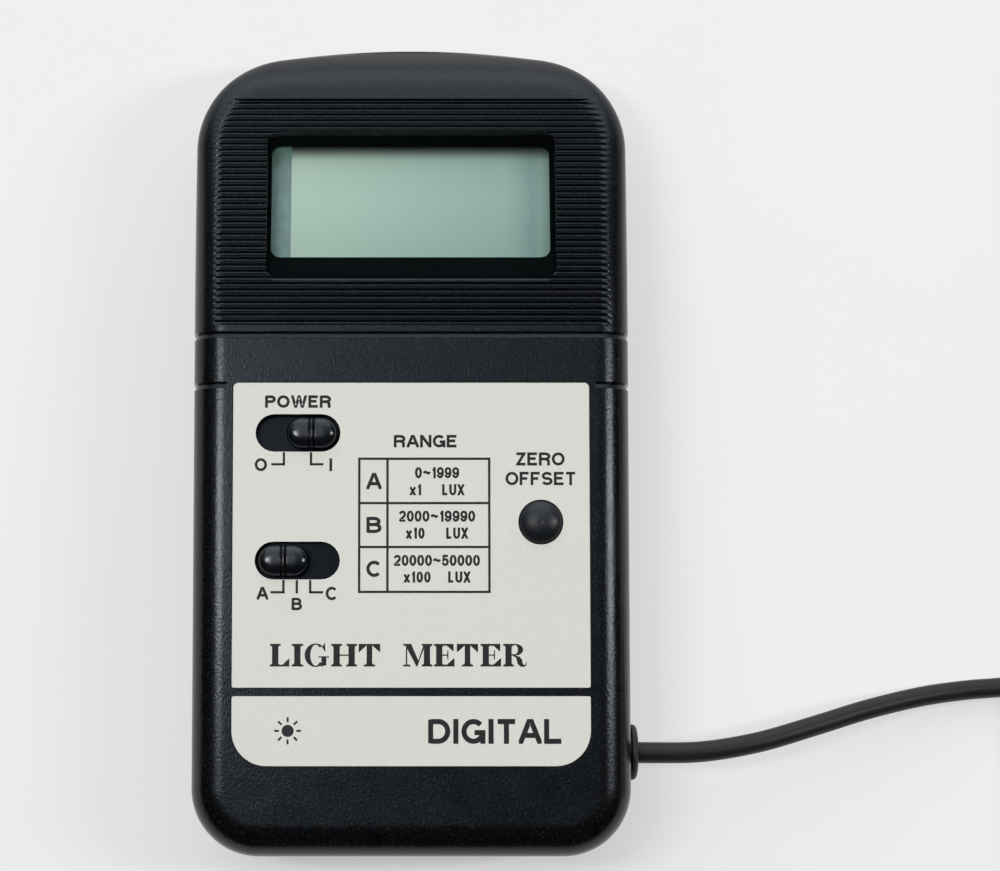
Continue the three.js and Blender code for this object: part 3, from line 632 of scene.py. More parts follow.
CASE_ROWS = (
    [-40.0, -25.0, -8.0, 4.0, 7.6] + groove_rows(SIDE_GROOVE) + [11.0, 13.5, 15.8]
    + groove_rows(FACE_GROOVE) + ridge_rows() + [56.35, 56.8]
)
FILLET_TURNS = (0, 14, 27, 39, 48, 55, 61, 66, 70, 74, 78, 82, 86, 90)


def front_rings():
    """Rings up the outside of the front cover, from the parting line to the edge of its face."""
    rise = DEPTH - PARTING_HIGH
    plan = [(0.28, 0.0, 1.0, 0.0), (0.0, 0.35 / rise, 1.0, 0.0)]
    for turn in FILLET_TURNS:
        angle = math.radians(turn)
        share = 1 - FILLET_HEIGHT * (1 - math.sin(angle)) / rise
        slope = np.array([math.cos(angle) / FILLET_WIDTH, math.sin(angle) / FILLET_HEIGHT])
        slope /= np.linalg.norm(slope)
        plan.append((WALL_LEAN + FILLET_WIDTH * (1 - math.cos(angle)), share, slope[0], slope[1]))
    plan += [(SIDE_GROOVE_INSET - 0.04, 1.0, 0.0, 1.0), (SIDE_GROOVE_INSET, 1.0, 0.0, 1.0)]
    rings = []
    for index, (inset, share, across, down) in enumerate(plan):
        right = half_outline(inset, CASE_ROWS)
        y = right[:, 1]
        sink = groove_drop(y, FACE_GROOVE)
        if index < len(plan) - 1:
            sink = sink + groove_drop(y, SIDE_GROOVE)
        level = PARTING_HIGH + (face_height(y) - PARTING_HIGH) * share - sink * down
        level = np.minimum(level, np.maximum(face_height(y) - ridge_drop(y), PARTING_HIGH))
        right[:, 0] -= sink * across * (np.abs(y) < CASE_ROWS[-1])
        rings.append(whole(right, level))
    return rings


def inner_rings(levels):
    """Rings of the hollow, from the parting line inwards, each with its inset and its height at y."""
    rings = []
    for inset, height in levels:
        right = half_outline(inset, CASE_ROWS)
        rings.append(whole(right, height(right[:, 1])))
    return rings


def shell(name, outer, inner, material):
    """A hollow solid: outer rings and a hollow's rings, both starting at the same open edge."""
    points, faces = loft(outer, low_cap=False)
    hollow, hollow_faces = loft(inner, low_cap=False)
    start = len(points)
    count = len(outer[0])
    faces += [tuple(start + i for i in face[::-1]) for face in hollow_faces]
    for i in range(count):
        j = (i + 1) % count
        faces.append((i, start + i, start + j, j))
    return build(name, np.vstack([points, hollow]), faces, material)


TILT = math.asin((WINDOW["y"] - FLAT_FACE_END) / FACE_ARC)
DISPLAY_TURN = Matrix.Rotation(-TILT, 4, "X")
DISPLAY_PLACE = (0.0, WINDOW["y"], float(face_height(np.array(WINDOW["y"]))))


def tilted(made):
    """Puts a piece of the display, made square to the face, in its place."""
    return place(made, *DISPLAY_PLACE, DISPLAY_TURN)


def label_outline(box, grow, steps):
    return rounded(
        -box["half"] - grow, box["half"] + grow, box["bottom"] - grow, box["top"] + grow,
        box["foot"] + grow, box["corner"] + grow, steps,
    )


def pocket(box):
    return prism("pocket", label_outline(box, 0.15, 6), POCKET_FLOOR, DEPTH + 3, casing)


def pin(name, radius, low, high, segments):
    """A plain round cutter or post on the Z axis."""
    return turned(name, [(0, low), (radius, low), (radius, high), (0, high)], casing, segments)


def bore(x, y, radius, low, high, segments=48):
    return place(pin("bore", radius, low, high, segments), x, y)


def side_bore():
    """The hole for the lead's gland."""
    turn = Matrix.Rotation(math.pi / 2, 4, "Y")
    return place(pin("side_bore", 3.5, -6, 4, 64), GLAND["x"], GLAND["y"], GLAND["z"], turn)


def front_cover():
    wall_in = [
        (WALL, lambda y: PARTING_HIGH + 0 * y),
        (WALL + 0.3, lambda y: PARTING_HIGH + (face_height(y) - WALL - PARTING_HIGH) * 0.5),
        (WALL + 1.8, lambda y: PARTING_HIGH + (face_height(y) - WALL - PARTING_HIGH) * 0.88),
        (WALL + 4.2, lambda y: face_height(y) - WALL),
    ]
    made = shell("front_shell", front_rings(), inner_rings(wall_in), casing)
    posts = [bore(x, y, 3.0, PARTING_HIGH + 0.45, top, 32) for x, y, top in SCREWS.values()]
    posts += [bore(0.0, y, 2.6, 17.1, 23.2, 32) for y in (12.8, -21.4)]
    fuse(made, *posts)
    opening = {**WINDOW, "y": 0}
    narrow, wide = centred(opening), centred(opening, 0.22)
    window = stack("window_cut", [(narrow, -8), (narrow, -0.2), (wide, 0.02), (wide, 4.02)], casing)
    cut(made, pocket(CONTROL_LABEL), pocket(NAME_LABEL), tilted(window))
    below = DEPTH - WALL - 2
    for centre in (POWER_SLOT, RANGE_SLOT):
        cut(made, prism("slot_cut", stadium(centre), below, DEPTH + 1, casing))
    cut(made, bore(ZERO["x"], ZERO["y"], ZERO["radius"] + 0.18, below, DEPTH + 1), side_bore())
    cut(made, *(bore(x, y, 1.55, PARTING_HIGH - 1, top - 1.5, 24) for x, y, top in SCREWS.values()))
    return finish_piece(made, replaces=("front_cover",))


front_cover()

# The rear cover's edge from the back up to the parting line: how far in, and how high.
REAR_EDGE = (
    (3.6, 0.0), (3.2, 0.03), (2.8, 0.14), (2.4, 0.34), (1.9, 0.72), (1.45, 1.3), (1.1, 2.1),
    (0.8, 3.2), (0.55, 4.8), (0.3, 7.5), (0.12, 9.8), (0.0, 11.5), (0.28, PARTING_LOW),
)


def rear_shell(name):
    """The whole rear shell; the battery door is cut out of a second one, so that their skins agree."""
    outer = []
    for inset, z in REAR_EDGE[::-1]:
        right = half_outline(inset, CASE_ROWS)
        y = right[:, 1]
        sink = groove_drop(y, FACE_GROOVE) + groove_drop(y, SIDE_GROOVE)
        right[:, 0] -= sink * np.interp(z, [1.2, 2.2], [0, 1])
        outer.append(whole(right, np.full(len(y), z)))
    wall_in = [
        (WALL, lambda y: PARTING_LOW + 0 * y),
        (WALL + 0.3, lambda y: WALL + 2.4 + 0 * y),
        (WALL + 1.0, lambda y: WALL + 0.6 + 0 * y),
        (WALL + 3.0, lambda y: WALL + 0 * y),
    ]
    made = shell(name, outer, inner_rings(wall_in), casing)
    made.data.flip_normals()
    return made


def door_box(grow):
    side = DOOR["side"] + grow
    outline = rectangle(-side, side, -LENGTH, DOOR["top"] + grow)
    return prism("door_box", outline, -1, DOOR["height"] + grow, casing)


def rear_cover():
    made = rear_shell("rear_shell")
    fuse(made, *(bore(x, y, 4.2, 1.0, PARTING_LOW - 0.2, 32) for x, y, _ in SCREWS.values()))
    cut(made, *(bore(x, y, 2.9, -1, SCREW_SEAT, 40) for x, y, _ in SCREWS.values()))
    cut(made, *(bore(x, y, 1.55, 0, PARTING_LOW + 1, 24) for x, y, _ in SCREWS.values()))
    cut(made, side_bore(), door_box(0.0))
    return finish_piece(made, replaces=("rear_cover",))


rear_cover()


def battery_door():
    """The door with its grip lines and an arrow that shows which way it slides."""
    made = rear_shell("battery_door_skin")
    boolean(made, door_box(-DOOR["gap"]), "INTERSECT")
    for i in range(9):
        y = -42.0 - 1.5 * i
        reach = 9.0 - 0.6 * abs(i - 4)
        outline = rounded(-reach, reach, y - 0.35, y + 0.35, 0.3, steps=3)
        cut(made, prism("grip", outline, -0.4, 0.4, casing))
    arrow = [(-3.2, -36.6), (0, -39.6), (3.2, -36.6), (2.3, -36.6), (0, -38.7), (-2.3, -36.6)]
    cut(made, prism("arrow", arrow, -0.4, 0.25, casing))
    return finish_piece(made, "battery_door", ("battery_door",))


battery_door()


def screw(name, x, y):
    """A cross-head self-tapping screw with a thread, its head below; it fills its CAD node's box."""
    radius, height, shank, thread_pitch = 2.6, 1.9, 1.25, 0.9
    core = shank * 0.72
    low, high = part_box(name)
    length = (high.z - low.z) / MM - height
    profile = [
        (0, 0.0), (radius * 0.7, 0.06), (radius * 0.93, 0.35), (radius, 0.7), (radius, height),
        (core, height),
    ]
    for i in range(int(length / thread_pitch)):
        z = height + 0.3 + i * thread_pitch
        if i:
            profile.append((core, z))
        profile += [(shank, z + 0.4), (core, z + 0.8)]
    made = turned(f"{name}_turned", profile + [(0, height + length)], steel, 40)
    arm = rectangle(-radius * 0.62, radius * 0.62, -0.32, 0.32)
    for turn in (0, math.pi / 2):
        tool = prism("arm", arm, -1, height * 0.6, steel)
        cut(made, place(tool, turn=Matrix.Rotation(turn, 4, "Z")))
    place(made, x, y, low.z / MM)
    finish_piece(made, replaces=(name,))


for name, (x, y, _) in SCREWS.items():
    screw(name, x, y)

# ---- The display ----


def display():
    """The clear window, the mask behind it and the display glass, with heights from the face down."""
    window = {"width": WINDOW["width"] - 0.6, "height": WINDOW["height"] - 0.6, "corner": 1.5}
    flange = {"width": 50.0, "height": 27.6, "corner": 2.0}
    outline = centred(window)
    layers = [(outline, -3.0), (outline, -1.0), (centred(window, -0.2), -0.8)]
    sheet = stack("window_sheet", layers, window_clear)
    fuse(sheet, prism("flange", centred(flange), -3.9, -2.99, window_clear))
    finish_piece(tilted(sheet), replaces=("display_window",))

    frame_outline = {"y": LCD["y"], "width": 53.6, "height": 30.4, "corner": 1.2}
    room = {**LCD, "width": LCD["width"] + 0.8, "height": LCD["height"] + 0.8, "corner": 0.5}
    mask = prism("display_mask", centred(frame_outline), -8.4, -4.2, bezel_black)
    narrow, wide = centred(MASK, 0.0, 10), centred(MASK, 0.35, 10)
    layers = [(narrow, -9), (narrow, -4.5), (wide, -4.15), (wide, -3)]
    opening = stack("opening", layers, bezel_black)
    cut(mask, prism("room", centred(room), -9, -5.4, bezel_black), opening)
    finish_piece(tilted(mask), replaces=("lcd_bezel",))

    outline = centred({**LCD, "corner": 0.3})
    glass = bevelled(prism("lcd_glass_pair", outline, -8.2, -5.75, lcd_dark), 0.12)
    finish_piece(tilted(glass), replaces=("lcd_panel",))
    outline = rounded(-19.45, 24.4, LCD["y"] - 12.4, LCD["y"] + 12.4, 0.3)
    film = prism("lcd_film", outline, -5.75, -5.5, lcd_green)
    finish_piece(tilted(film))


display()

# ---- Labels and their print ----


def label(name, box, replaced, *holes):
    outline = label_outline(box, 0.0, 10)
    rim = (label_outline(box, -0.04, 10), LABEL_TOP)
    made = stack(name, [(outline, LABEL_LOW), (outline, LABEL_TOP - 0.05), rim], label_cream)
    cut(made, *holes)
    finish_piece(made, replaces=(replaced,))


label(
    "control_film", CONTROL_LABEL, "control_label",
    prism("hole", stadium(POWER_SLOT, 0.05), 20, 30, label_cream),
    prism("hole", stadium(RANGE_SLOT, 0.05), 20, 30, label_cream),
    bore(ZERO["x"], ZERO["y"], ZERO["radius"] + 0.1, 20, 30, 64),
)
label("name_film", NAME_LABEL, "name_label")


def holds(polygon, point):
    """True if the point is inside the polygon."""
    x, y = point
    inside = False
    for (x0, y0), (x1, y1) in zip(polygon, polygon[1:] + polygon[:1]):
        if (y0 > y) != (y1 > y) and x < x0 + (y - y0) * (x1 - x0) / (y1 - y0):
            inside = not inside
    return inside


def stroke(points, width):
    """The outline of a line of that width through points, with square ends and mitred turns."""
    points = [Vector(p) for p in points]
    aheads = [(b - a).normalized() for a, b in zip(points, points[1:])]
    left, right = [], []
    for i, point in enumerate(points):
        before, after = aheads[max(0, i - 1)], aheads[min(i, len(aheads) - 1)]
        middle = (before + after).normalized()
        side = Vector((-middle.y, middle.x))
        reach = width / 2 / max(0.4, middle.dot(after))
        left.append(tuple(point + side * reach))
        right.append(tuple(point - side * reach))
    return left + right[::-1]


# Each glyph is its width and the middle lines of its strokes, in a box of one by one. Lines that run
# past the box are cut off square at its edge.
LOOP = bow(0.5, 0.5, 0.5, 0.5, 90, 450, 33)
BOWL = [(0, 1), (0.5, 1), *bow(0.55, 0.745, 0.45, 0.255, 80, -80, 9), (0.5, 0.49), (0, 0.49)]
UPPER_BOWL = [(0, 1), (0.5, 1), *bow(0.52, 0.765, 0.4, 0.235, 80, -80, 9), (0.5, 0.53), (0, 0.53)]
LOWER_BOWL = [(0, 0.53), (0.55, 0.53), *bow(0.57, 0.265, 0.43, 0.265, 80, -80, 9), (0.5, 0), (0, 0)]
WIDE_BOWL = [(0, 1), (0.4, 1), *bow(0.45, 0.5, 0.55, 0.5, 85, -85, 15), (0.4, 0), (0, 0)]
FIRST_V = [(-0.03, 1.2), (0.23, 0.0), (0.27, 0.0), (0.48, 1.0)]
WAVE = [(-0.02, 0.44), (0.12, 0.57), (0.3, 0.6), (0.5, 0.52), (0.7, 0.43), (0.88, 0.46), (1.02, 0.6)]
GLYPHS = {
    "A": (0.74, [[(-0.1, -0.2), (0.43, 1.0), (0.57, 1.0), (1.1, -0.2)], [(0.15, 0.3), (0.85, 0.3)]]),
    "B": (0.7, [[(0, -0.1), (0, 1.1)], UPPER_BOWL, LOWER_BOWL]),
    "C": (0.74, [bow(0.52, 0.5, 0.52, 0.5, 42, 318, 24)]),
    "D": (0.72, [[(0, -0.1), (0, 1.1)], WIDE_BOWL]),
    "E": (0.64, [[(1.1, 1), (0, 1), (0, 0), (1.1, 0)], [(0, 0.53), (0.93, 0.53)]]),
    "F": (0.6, [[(1.1, 1), (0, 1), (0, -0.2)], [(0, 0.5), (0.88, 0.5)]]),
    "G": (0.78, [bow(0.5, 0.5, 0.5, 0.5, 42, 352, 26), [(0.56, 0.44), (1.0, 0.44), (1.0, -0.15)]]),
    "I": (0.2, [[(0.5, -0.2), (0.5, 1.2)]]),
    "L": (0.6, [[(0, 1.2), (0, 0), (1.1, 0)]]),
    "N": (0.7, [[(0, -0.2), (0, 1.2)], [(0, 1.1), (1, -0.1)], [(1, -0.2), (1, 1.2)]]),
    "O": (0.8, [LOOP]),
    "P": (0.68, [[(0, -0.2), (0, 1.1)], BOWL]),
    "R": (0.72, [[(0, -0.2), (0, 1.1)], BOWL, [(0.5, 0.49), (0.82, 0.44), (0.92, 0.3), (0.94, -0.15)]]),
    "S": (0.68, [
        bow(0.5, 0.745, 0.48, 0.255, 18, 255, 16) + bow(0.5, 0.255, 0.5, 0.255, 75, -162, 16),
    ]),
    "T": (0.64, [[(-0.1, 1), (1.1, 1)], [(0.5, 1), (0.5, -0.2)]]),
    "U": (0.7, [[(0, 1.2), (0, 0.34), *bow(0.5, 0.34, 0.5, 0.34, 190, 350, 12), (1, 0.34), (1, 1.2)]]),
    "W": (1.02, [[*FIRST_V, (0.52, 1.0), (0.73, 0.0), (0.77, 0.0), (1.03, 1.2)]]),
    "X": (0.7, [[(-0.12, 1.2), (1.12, -0.2)], [(-0.12, -0.2), (1.12, 1.2)]]),
    "Z": (0.64, [[(-0.1, 1), (0.93, 1), (0.07, 0), (1.1, 0)]]),
    "0": (0.56, [bow(0.5, 0.5, 0.5, 0.5, 90, 450, 33)]),
    "1": (0.36, [[(0.85, -0.2), (0.85, 1.2)], [(-0.1, 0.76), (0.5, 0.8), (0.85, 1.05)]]),
    "2": (0.56, [[*bow(0.5, 0.7, 0.5, 0.3, 172, -30, 14), (0.0, 0.03), (0.05, 0), (1.1, 0)]]),
    "5": (0.56, [[(1.05, 1), (0.16, 1), (0.06, 0.48), *bow(0.47, 0.32, 0.53, 0.32, 120, -165, 16)]]),
    "9": (0.56, [
        bow(0.5, 0.69, 0.5, 0.31, 0, 360, 24),
        [(1, 0.69), *bow(0.45, 0.42, 0.55, 0.42, 0, -160, 14)],
    ]),
    "~": (0.66, [WAVE]),
    "x": (0.56, [[(-0.05, 0.8), (1.05, -0.13)], [(-0.05, -0.13), (1.05, 0.8)]]),
}


class Print:
    """Collects flat shapes and makes them one thin solid of ink."""

    def __init__(self):
        self.points = []
        self.faces = []

    def shape(self, *polygons, clip=None):
        """The union of polygons, each a list of (x, y), kept within the clip polygon."""
        drawn = list(polygons) + ([clip] if clip else [])
        points = [Vector(p) for polygon in drawn for p in polygon]
        edges = []
        start = 0
        for polygon in drawn:
            count = len(polygon)
            edges += [(start + i, start + (i + 1) % count) for i in range(count)]
            start += count
        made, _, triangles, *_ = delaunay_2d_cdt(points, edges, [], 0, 1e-5)
        first = len(self.points)
        self.points += [(p.x, p.y) for p in made]
        for triangle in triangles:
            middle = sum((made[i] for i in triangle), Vector((0, 0))) / 3
            if (clip is None or holds(clip, middle)) and any(holds(p, middle) for p in polygons):
                self.faces.append([first + i for i in triangle])

    def bar(self, x0, x1, y0, y1):
        self.shape(rectangle(x0, x1, y0, y1))

    def text(self, words, x, y, width, height, weight, gap=0.1):
        """Words in plain upright capitals and figures, centred at x, y and fitted to a size in mm."""
        drawn = [GLYPHS[letter] for letter in words]
        room = width - gap * height * (len(words) - 1)
        scale = room / sum(wide for wide, _ in drawn)
        at = x - width / 2
        foot = y - height / 2
        for wide, lines in drawn:
            across = wide * scale
            span = Vector((across - weight, height - weight))
            corner = Vector((at + weight / 2, foot + weight / 2))
            box = rectangle(at, at + across, foot, foot + height)
            placed = [[corner + Vector((u * span.x, v * span.y)) for u, v in line] for line in lines]
            self.shape(*(stroke(line, weight) for line in placed), clip=box)
            at += across + gap * height

    def make(self, name):
        """The solid, with points that fall together merged and its sides closed."""
        base, top = LABEL_TOP - 0.015, LABEL_TOP + 0.02
        keys = {}
        index = []
        points = []
        for p in self.points:
            key = (round(p[0] * 2e4), round(p[1] * 2e4))
            if key not in keys:
                keys[key] = len(points)
                points.append(p)
            index.append(keys[key])
        faces = []
        for face in self.faces:
            ring = [index[i] for i in face]
            if len(set(ring)) == len(ring):
                faces.append(ring)
        for ring in faces:
            (ax, ay), (bx, by), (cx, cy) = (points[i] for i in ring)
            if (bx - ax) * (cy - ay) < (cx - ax) * (by - ay):
                ring.reverse()
        edges = {(a, b) for f in faces for a, b in zip(f, f[1:] + f[:1])}
        n = len(points)
        whole_faces = [tuple(n + i for i in f) for f in faces] + [tuple(f[::-1]) for f in faces]
        whole_faces += [(a, b, n + b, n + a) for a, b in edges if (b, a) not in edges]
        solid = [(x, y, base) for x, y in points] + [(x, y, top) for x, y in points]
        finish_piece(build(name, solid, whole_faces, ink))


LINE = 0.37


def marks(sheet, level, rise, ends, letters):
    """Leader lines from a slot's stops to their letters.

    Each of ends pairs an upright with the place where the level line from its foot ends.
    """
    half = LINE / 2
    for upright, end in ends:
        sheet.bar(upright - half, upright + half, level - half, rise)
        if end != upright:
            sheet.bar(min(upright, end) - half, max(upright, end) + half, level - half, level + half)
    for letter, x, y, width, height in letters:
        sheet.text(letter, x, y, width, height, 0.43)


def control_print():
    sheet = Print()
    sheet.text("POWER", -17.86, 6.30, 10.43, 1.98, 0.45)
    sheet.text("RANGE", 2.25, 0.02, 9.98, 1.98, 0.44)
    sheet.text("ZERO", 20.33, -2.79, 7.71, 2.07, 0.43)
    sheet.text("OFFSET", 20.39, -5.88, 11.07, 2.10, 0.42)
    marks(sheet, -3.63, -1.72, ((-20.06, -21.86), (-15.79, -14.01)), (
        ("O", -23.69, -3.69, 1.94, 2.05),
        ("I", -12.67, -3.71, 0.5, 2.01),
    ))
    marks(sheet, -23.78, -21.85, ((-20.05, -21.88), (-17.95, -17.95), (-15.85, -14.01)), (
        ("A", -23.33, -23.93, 1.80, 1.99),
        ("B", -17.94, -25.61, 1.65, 1.98),
        ("C", -12.48, -23.96, 1.88, 2.12),
    ))
    sheet.make("print_controls")


TABLE_COLUMNS = (-8.17, -3.73, 12.29)
TABLE_ROWS = (-2.76, -23.72, -9.76, -16.67)
# Each range: its letter and height, then its span and factor, each with its middle and width, and
# the unit's middle and width.
RANGES = (
    ("A", -6.29, "0~1999", 4.08, -4.96, 6.96, "x1", 0.67, -7.65, 1.89, 6.63, 3.51),
    ("B", -13.2, "2000~19990", 4.07, -11.82, 12.0, "x10", 0.63, -14.50, 2.96, 7.23, 3.44),
    ("C", -20.1, "20000~50000", 4.04, -18.77, 13.54, "x100", 0.93, -21.39, 4.24, 7.56, 3.5),
)
SMALL = 1.76
SMALL_WEIGHT = 0.37


def range_table():
    sheet = Print()
    half = LINE / 2
    left, _, right = TABLE_COLUMNS
    top, bottom, *_ = TABLE_ROWS
    bars = [rectangle(left - half, right + half, y - half, y + half) for y in TABLE_ROWS]
    bars += [rectangle(x - half, x + half, bottom, top) for x in TABLE_COLUMNS]
    sheet.shape(*bars)
    for letter, row, span, sx, sy, sw, times, tx, ty, tw, ux, uw in RANGES:
        sheet.text(letter, -5.85, row, 2.38, 2.56, 0.52)
        sheet.text(span, sx, sy, sw, SMALL, SMALL_WEIGHT, 0.07)
        sheet.text(times, tx, ty, tw, SMALL, SMALL_WEIGHT)
        sheet.text("LUX", ux, ty, uw, SMALL, SMALL_WEIGHT)
    sheet.make("print_range_table")


# Letters of the title: a bold modern face with bracketed hairline serifs. The unit is the capital
# height; each letter is a union of plain polygons.
STEM = 0.285
HAIR = 0.085


def serif(x0, x1, y, up):
    """A hairline serif between x0 and x1 at y, under a stem when up is 1 and over one when -1."""
    return [(x0, y), (x1, y), (x1, y + up * HAIR), (x0, y + up * HAIR)]


def stem(x, reach=0.1):
    """An upright with serifs and small brackets at both ends."""
    left, right = x, x + STEM
    brackets = []
    for y, up in ((0, 1), (1, -1)):
        brackets.append([
            (left - reach * 0.5, y + up * HAIR * 0.9), (left, y + up * 0.14),
            (right, y + up * 0.14), (right + reach * 0.5, y + up * HAIR * 0.9),
        ])
    return [
        rectangle(left, right, 0, 1), serif(left - reach, right + reach, 0, 1),
        serif(left - reach, right + reach, 1, -1), *brackets,
    ]


def band(cx, cy, rx_out, ry_out, rx_in, ry_in, start, end, count):
    """Part of a ring whose outer and inner edges are different ellipses."""
    inner = bow(cx, cy, rx_in, ry_in, start, end, count)
    return bow(cx, cy, rx_out, ry_out, start, end, count) + inner[::-1]


def beak(x, y, width, tall, way):
    """The pointed end of a thin arm, way 1 for down and -1 for up."""
    return [
        (x, y), (x, y - way * tall), (x - 0.03, y - way * tall),
        (x - width, y - way * HAIR), (x - width, y),
    ]


T_ARM = beak(0.98, 1, 0.34, 0.36, 1)
# Each letter is its polygons and its width.
LETTERS = {
    "L": ([*stem(0.1), rectangle(0.3, 0.86, 0, HAIR), beak(0.88, 0, 0.3, 0.34, -1)], 0.88),
    "I": (stem(0.12, 0.12), 0.49),
    "G": ([
        band(0.5, 0.5, 0.5, 0.52, 0.24, 0.465, 48, 318, 30),
        rectangle(0.62, 1.1, 0.40, 0.45),
        [(0.72, 0.0), (0.74, 0.0), (0.98, 0.06), (0.98, 0.42), (0.76, 0.42), (0.76, 0.12)],
        [(0.78, 0.80), (0.88, 1.02), (0.92, 1.02), (0.94, 0.66), (0.9, 0.66), (0.84, 0.8)],
    ], 1.1),
    "H": ([*stem(0.1), *stem(0.78), rectangle(0.3, 0.8, 0.47, 0.53)], 1.13),
    "T": ([
        rectangle(0.37, 0.62, 0, 1), serif(0.24, 0.75, 0, 1),
        [(0.3, HAIR * 0.9), (0.37, 0.14), (0.62, 0.14), (0.69, HAIR * 0.9)],
        rectangle(0.02, 0.97, 1 - HAIR, 1), T_ARM, [(0.99 - x, y) for x, y in T_ARM],
    ], 0.99),
    "M": ([
        rectangle(0.14, 0.2, 0, 0.98), serif(0.02, 0.34, 0, 1), serif(0.02, 0.34, 1, -1),
        [(0.08, 1), (0.38, 1), (0.72, 0.24), (0.62, 0.0)],
        [(0.62, 0.0), (0.66, 0.0), (1.02, 0.94), (0.96, 1)],
        *stem(0.96, 0.1), rectangle(0.9, 1.0, 1 - HAIR, 1),
    ], 1.32),
    "E": ([
        *stem(0.1), rectangle(0.3, 0.9, 0, HAIR), beak(0.94, 0, 0.34, 0.36, -1),
        rectangle(0.3, 0.86, 1 - HAIR, 1), beak(0.9, 1, 0.3, 0.32, 1),
        [(0.3, 0.475), (0.6, 0.475), (0.62, 0.3), (0.66, 0.3), (0.66, 0.72), (0.62, 0.72),
         (0.6, 0.53), (0.3, 0.53)],
    ], 0.94),
    "R": ([
        *stem(0.1), band(0.55, 0.745, 0.36, 0.255, 0.12, 0.2, -90, 90, 16),
        [(0.3, 0.94), (0.56, 0.945), (0.56, 1), (0.3, 1)],
        [(0.3, 0.49), (0.56, 0.49), (0.56, 0.545), (0.3, 0.545)],
        [(0.5, 0.5), (0.74, 0.44), (0.86, 0.3), (0.88, 0.16), (0.93, 0.08), (1.0, 0.07),
         (1.05, 0.2), (1.08, 0.19), (1.04, 0.03), (0.94, -0.02), (0.78, 0.0), (0.66, 0.1),
         (0.62, 0.26), (0.58, 0.4), (0.42, 0.475)],
    ], 1.08),
}


def serif_word(sheet, word, x0, x1, y0, y1):
    """A word in the title's letters, fitted between x0 and x1."""
    gap = 0.1
    drawn = [LETTERS[letter] for letter in word]
    total = sum(width for _, width in drawn) + gap * (len(word) - 1)
    scale = (x1 - x0) / total
    at = 0.0
    for polygons, width in drawn:
        sheet.shape(*([(x0 + (at + x) * scale, y0 + y * (y1 - y0)) for x, y in p] for p in polygons))
        at += width + gap


def title_print():
    sheet = Print()
    serif_word(sheet, "LIGHT", -22.13, -4.82, -35.38, -31.85)
    serif_word(sheet, "METER", -1.30, 18.12, -35.38, -31.85)
    sheet.make("print_title")


def name_print():
    """A plain sun sign and a generic word."""
    sheet = Print()
    x, y = -19.3, -45.4
    sheet.shape(arc(x, y, 0.95, 0, 345, 23))
    for i in range(8):
        angle = math.pi * i / 4
        ahead = Vector((math.cos(angle), math.sin(angle)))
        side = Vector((-ahead.y, ahead.x)) * 0.16
        near, far = Vector((x, y)) + ahead * 1.35, Vector((x, y)) + ahead * 2.1
        sheet.shape([near - side, far - side, far + side, near + side])
    sheet.text("DIGITAL", 13.15, -45.48, 21.0, 3.86, 0.8)
    sheet.make("print_name")


control_print()
range_table()
title_print()
name_print()

# ---- Controls ----

KNOB_HALF = 4.05
KNOB_RADIUS = 2.475
KNOB_FOOT = 22.1
KNOB_TOP = 26.1


def knob(name, slider, centre):
    """A pill of two domes with a rib between two grooves, on a stem; it stands for its slider."""
    reach = KNOB_HALF - KNOB_RADIUS
    fine = np.linspace(-0.75, 0.75, 43)
    coarse = np.linspace(-reach, -0.75, 7)[:-1]
    straight = np.concatenate([coarse, fine, -coarse[::-1]])

    def ring(radius, z_of):
        left = [(radius * c - reach, radius * s) for c, s in arc(0, 0, 1, 180, 90, 14)[1:-1]]
        right = [(radius * c + reach, radius * s) for c, s in arc(0, 0, 1, 90, 0, 14)[1:-1]]
        upper = [(x, y, z_of(x, radius)) for x, y in left + [(x, radius) for x in straight] + right]
        return upper + [(x, -y, z) for x, y, z in upper[::-1]]

    def crown(x, radius):
        share = radius / KNOB_RADIUS
        dome = KNOB_TOP - 1.5 * (1 - math.sqrt(max(0.0, 1 - share ** 3)))
        near = abs(x)
        groove = 0.55 * math.exp(-(((near - 0.34) / 0.11) ** 2))
        rib = 0.14 * math.exp(-((near / 0.18) ** 4))
        return dome - groove * (1 - 0.35 * share) + rib

    rings = [ring(KNOB_RADIUS, lambda x, r: KNOB_FOOT)]
    rings.append(ring(KNOB_RADIUS, lambda x, r: min(crown(x, r) - 0.05, 24.4)))
    for share in (1.0, 0.985, 0.95, 0.9, 0.83, 0.75, 0.65, 0.54, 0.42, 0.3, 0.18, 0.06):
        rings.append(ring(KNOB_RADIUS * share, crown))
    points, faces = loft(rings)
    made = build(name, points, [f[::-1] for f in faces], knob_black, 50)
    foot = rectangle(-1.5, 1.5, -1.1, 1.1)
    fuse(made, prism("stem", foot, 18.6, KNOB_FOOT + 0.4, knob_black))
    smooth(made, 50)
    place(made, *centre)
    finish_piece(made, slider, (slider,))


POWER_KNOB = (POWER_SLOT[0] + POWER_REST, POWER_SLOT[1])
RANGE_KNOB = (RANGE_SLOT[0] + RANGE_REST, RANGE_SLOT[1])
knob("power_knob", "power_slider", POWER_KNOB)
knob("range_knob", "range_slider", RANGE_KNOB)


def zero_button():
    """A dome with a small dimple at its top, on a flange that keeps it in the case."""
    radius, top, brim = ZERO["radius"], ZERO["top"], 24.5
    profile = [(0, 21.9), (radius + 1.1, 21.9), (radius + 1.1, 22.4), (radius, 22.4), (radius, brim)]
    profile += bow(0, brim, radius, top - brim, 6, 81, 16)
    profile += [(0.22, top - 0.02), (0.12, top - 0.06), (0, top - 0.08)]
    made = place(turned("zero_dome", profile, dome_black, 72, 50), ZERO["x"], ZERO["y"])
    finish_piece(made, "zero_button", ("zero_button",))


zero_button()


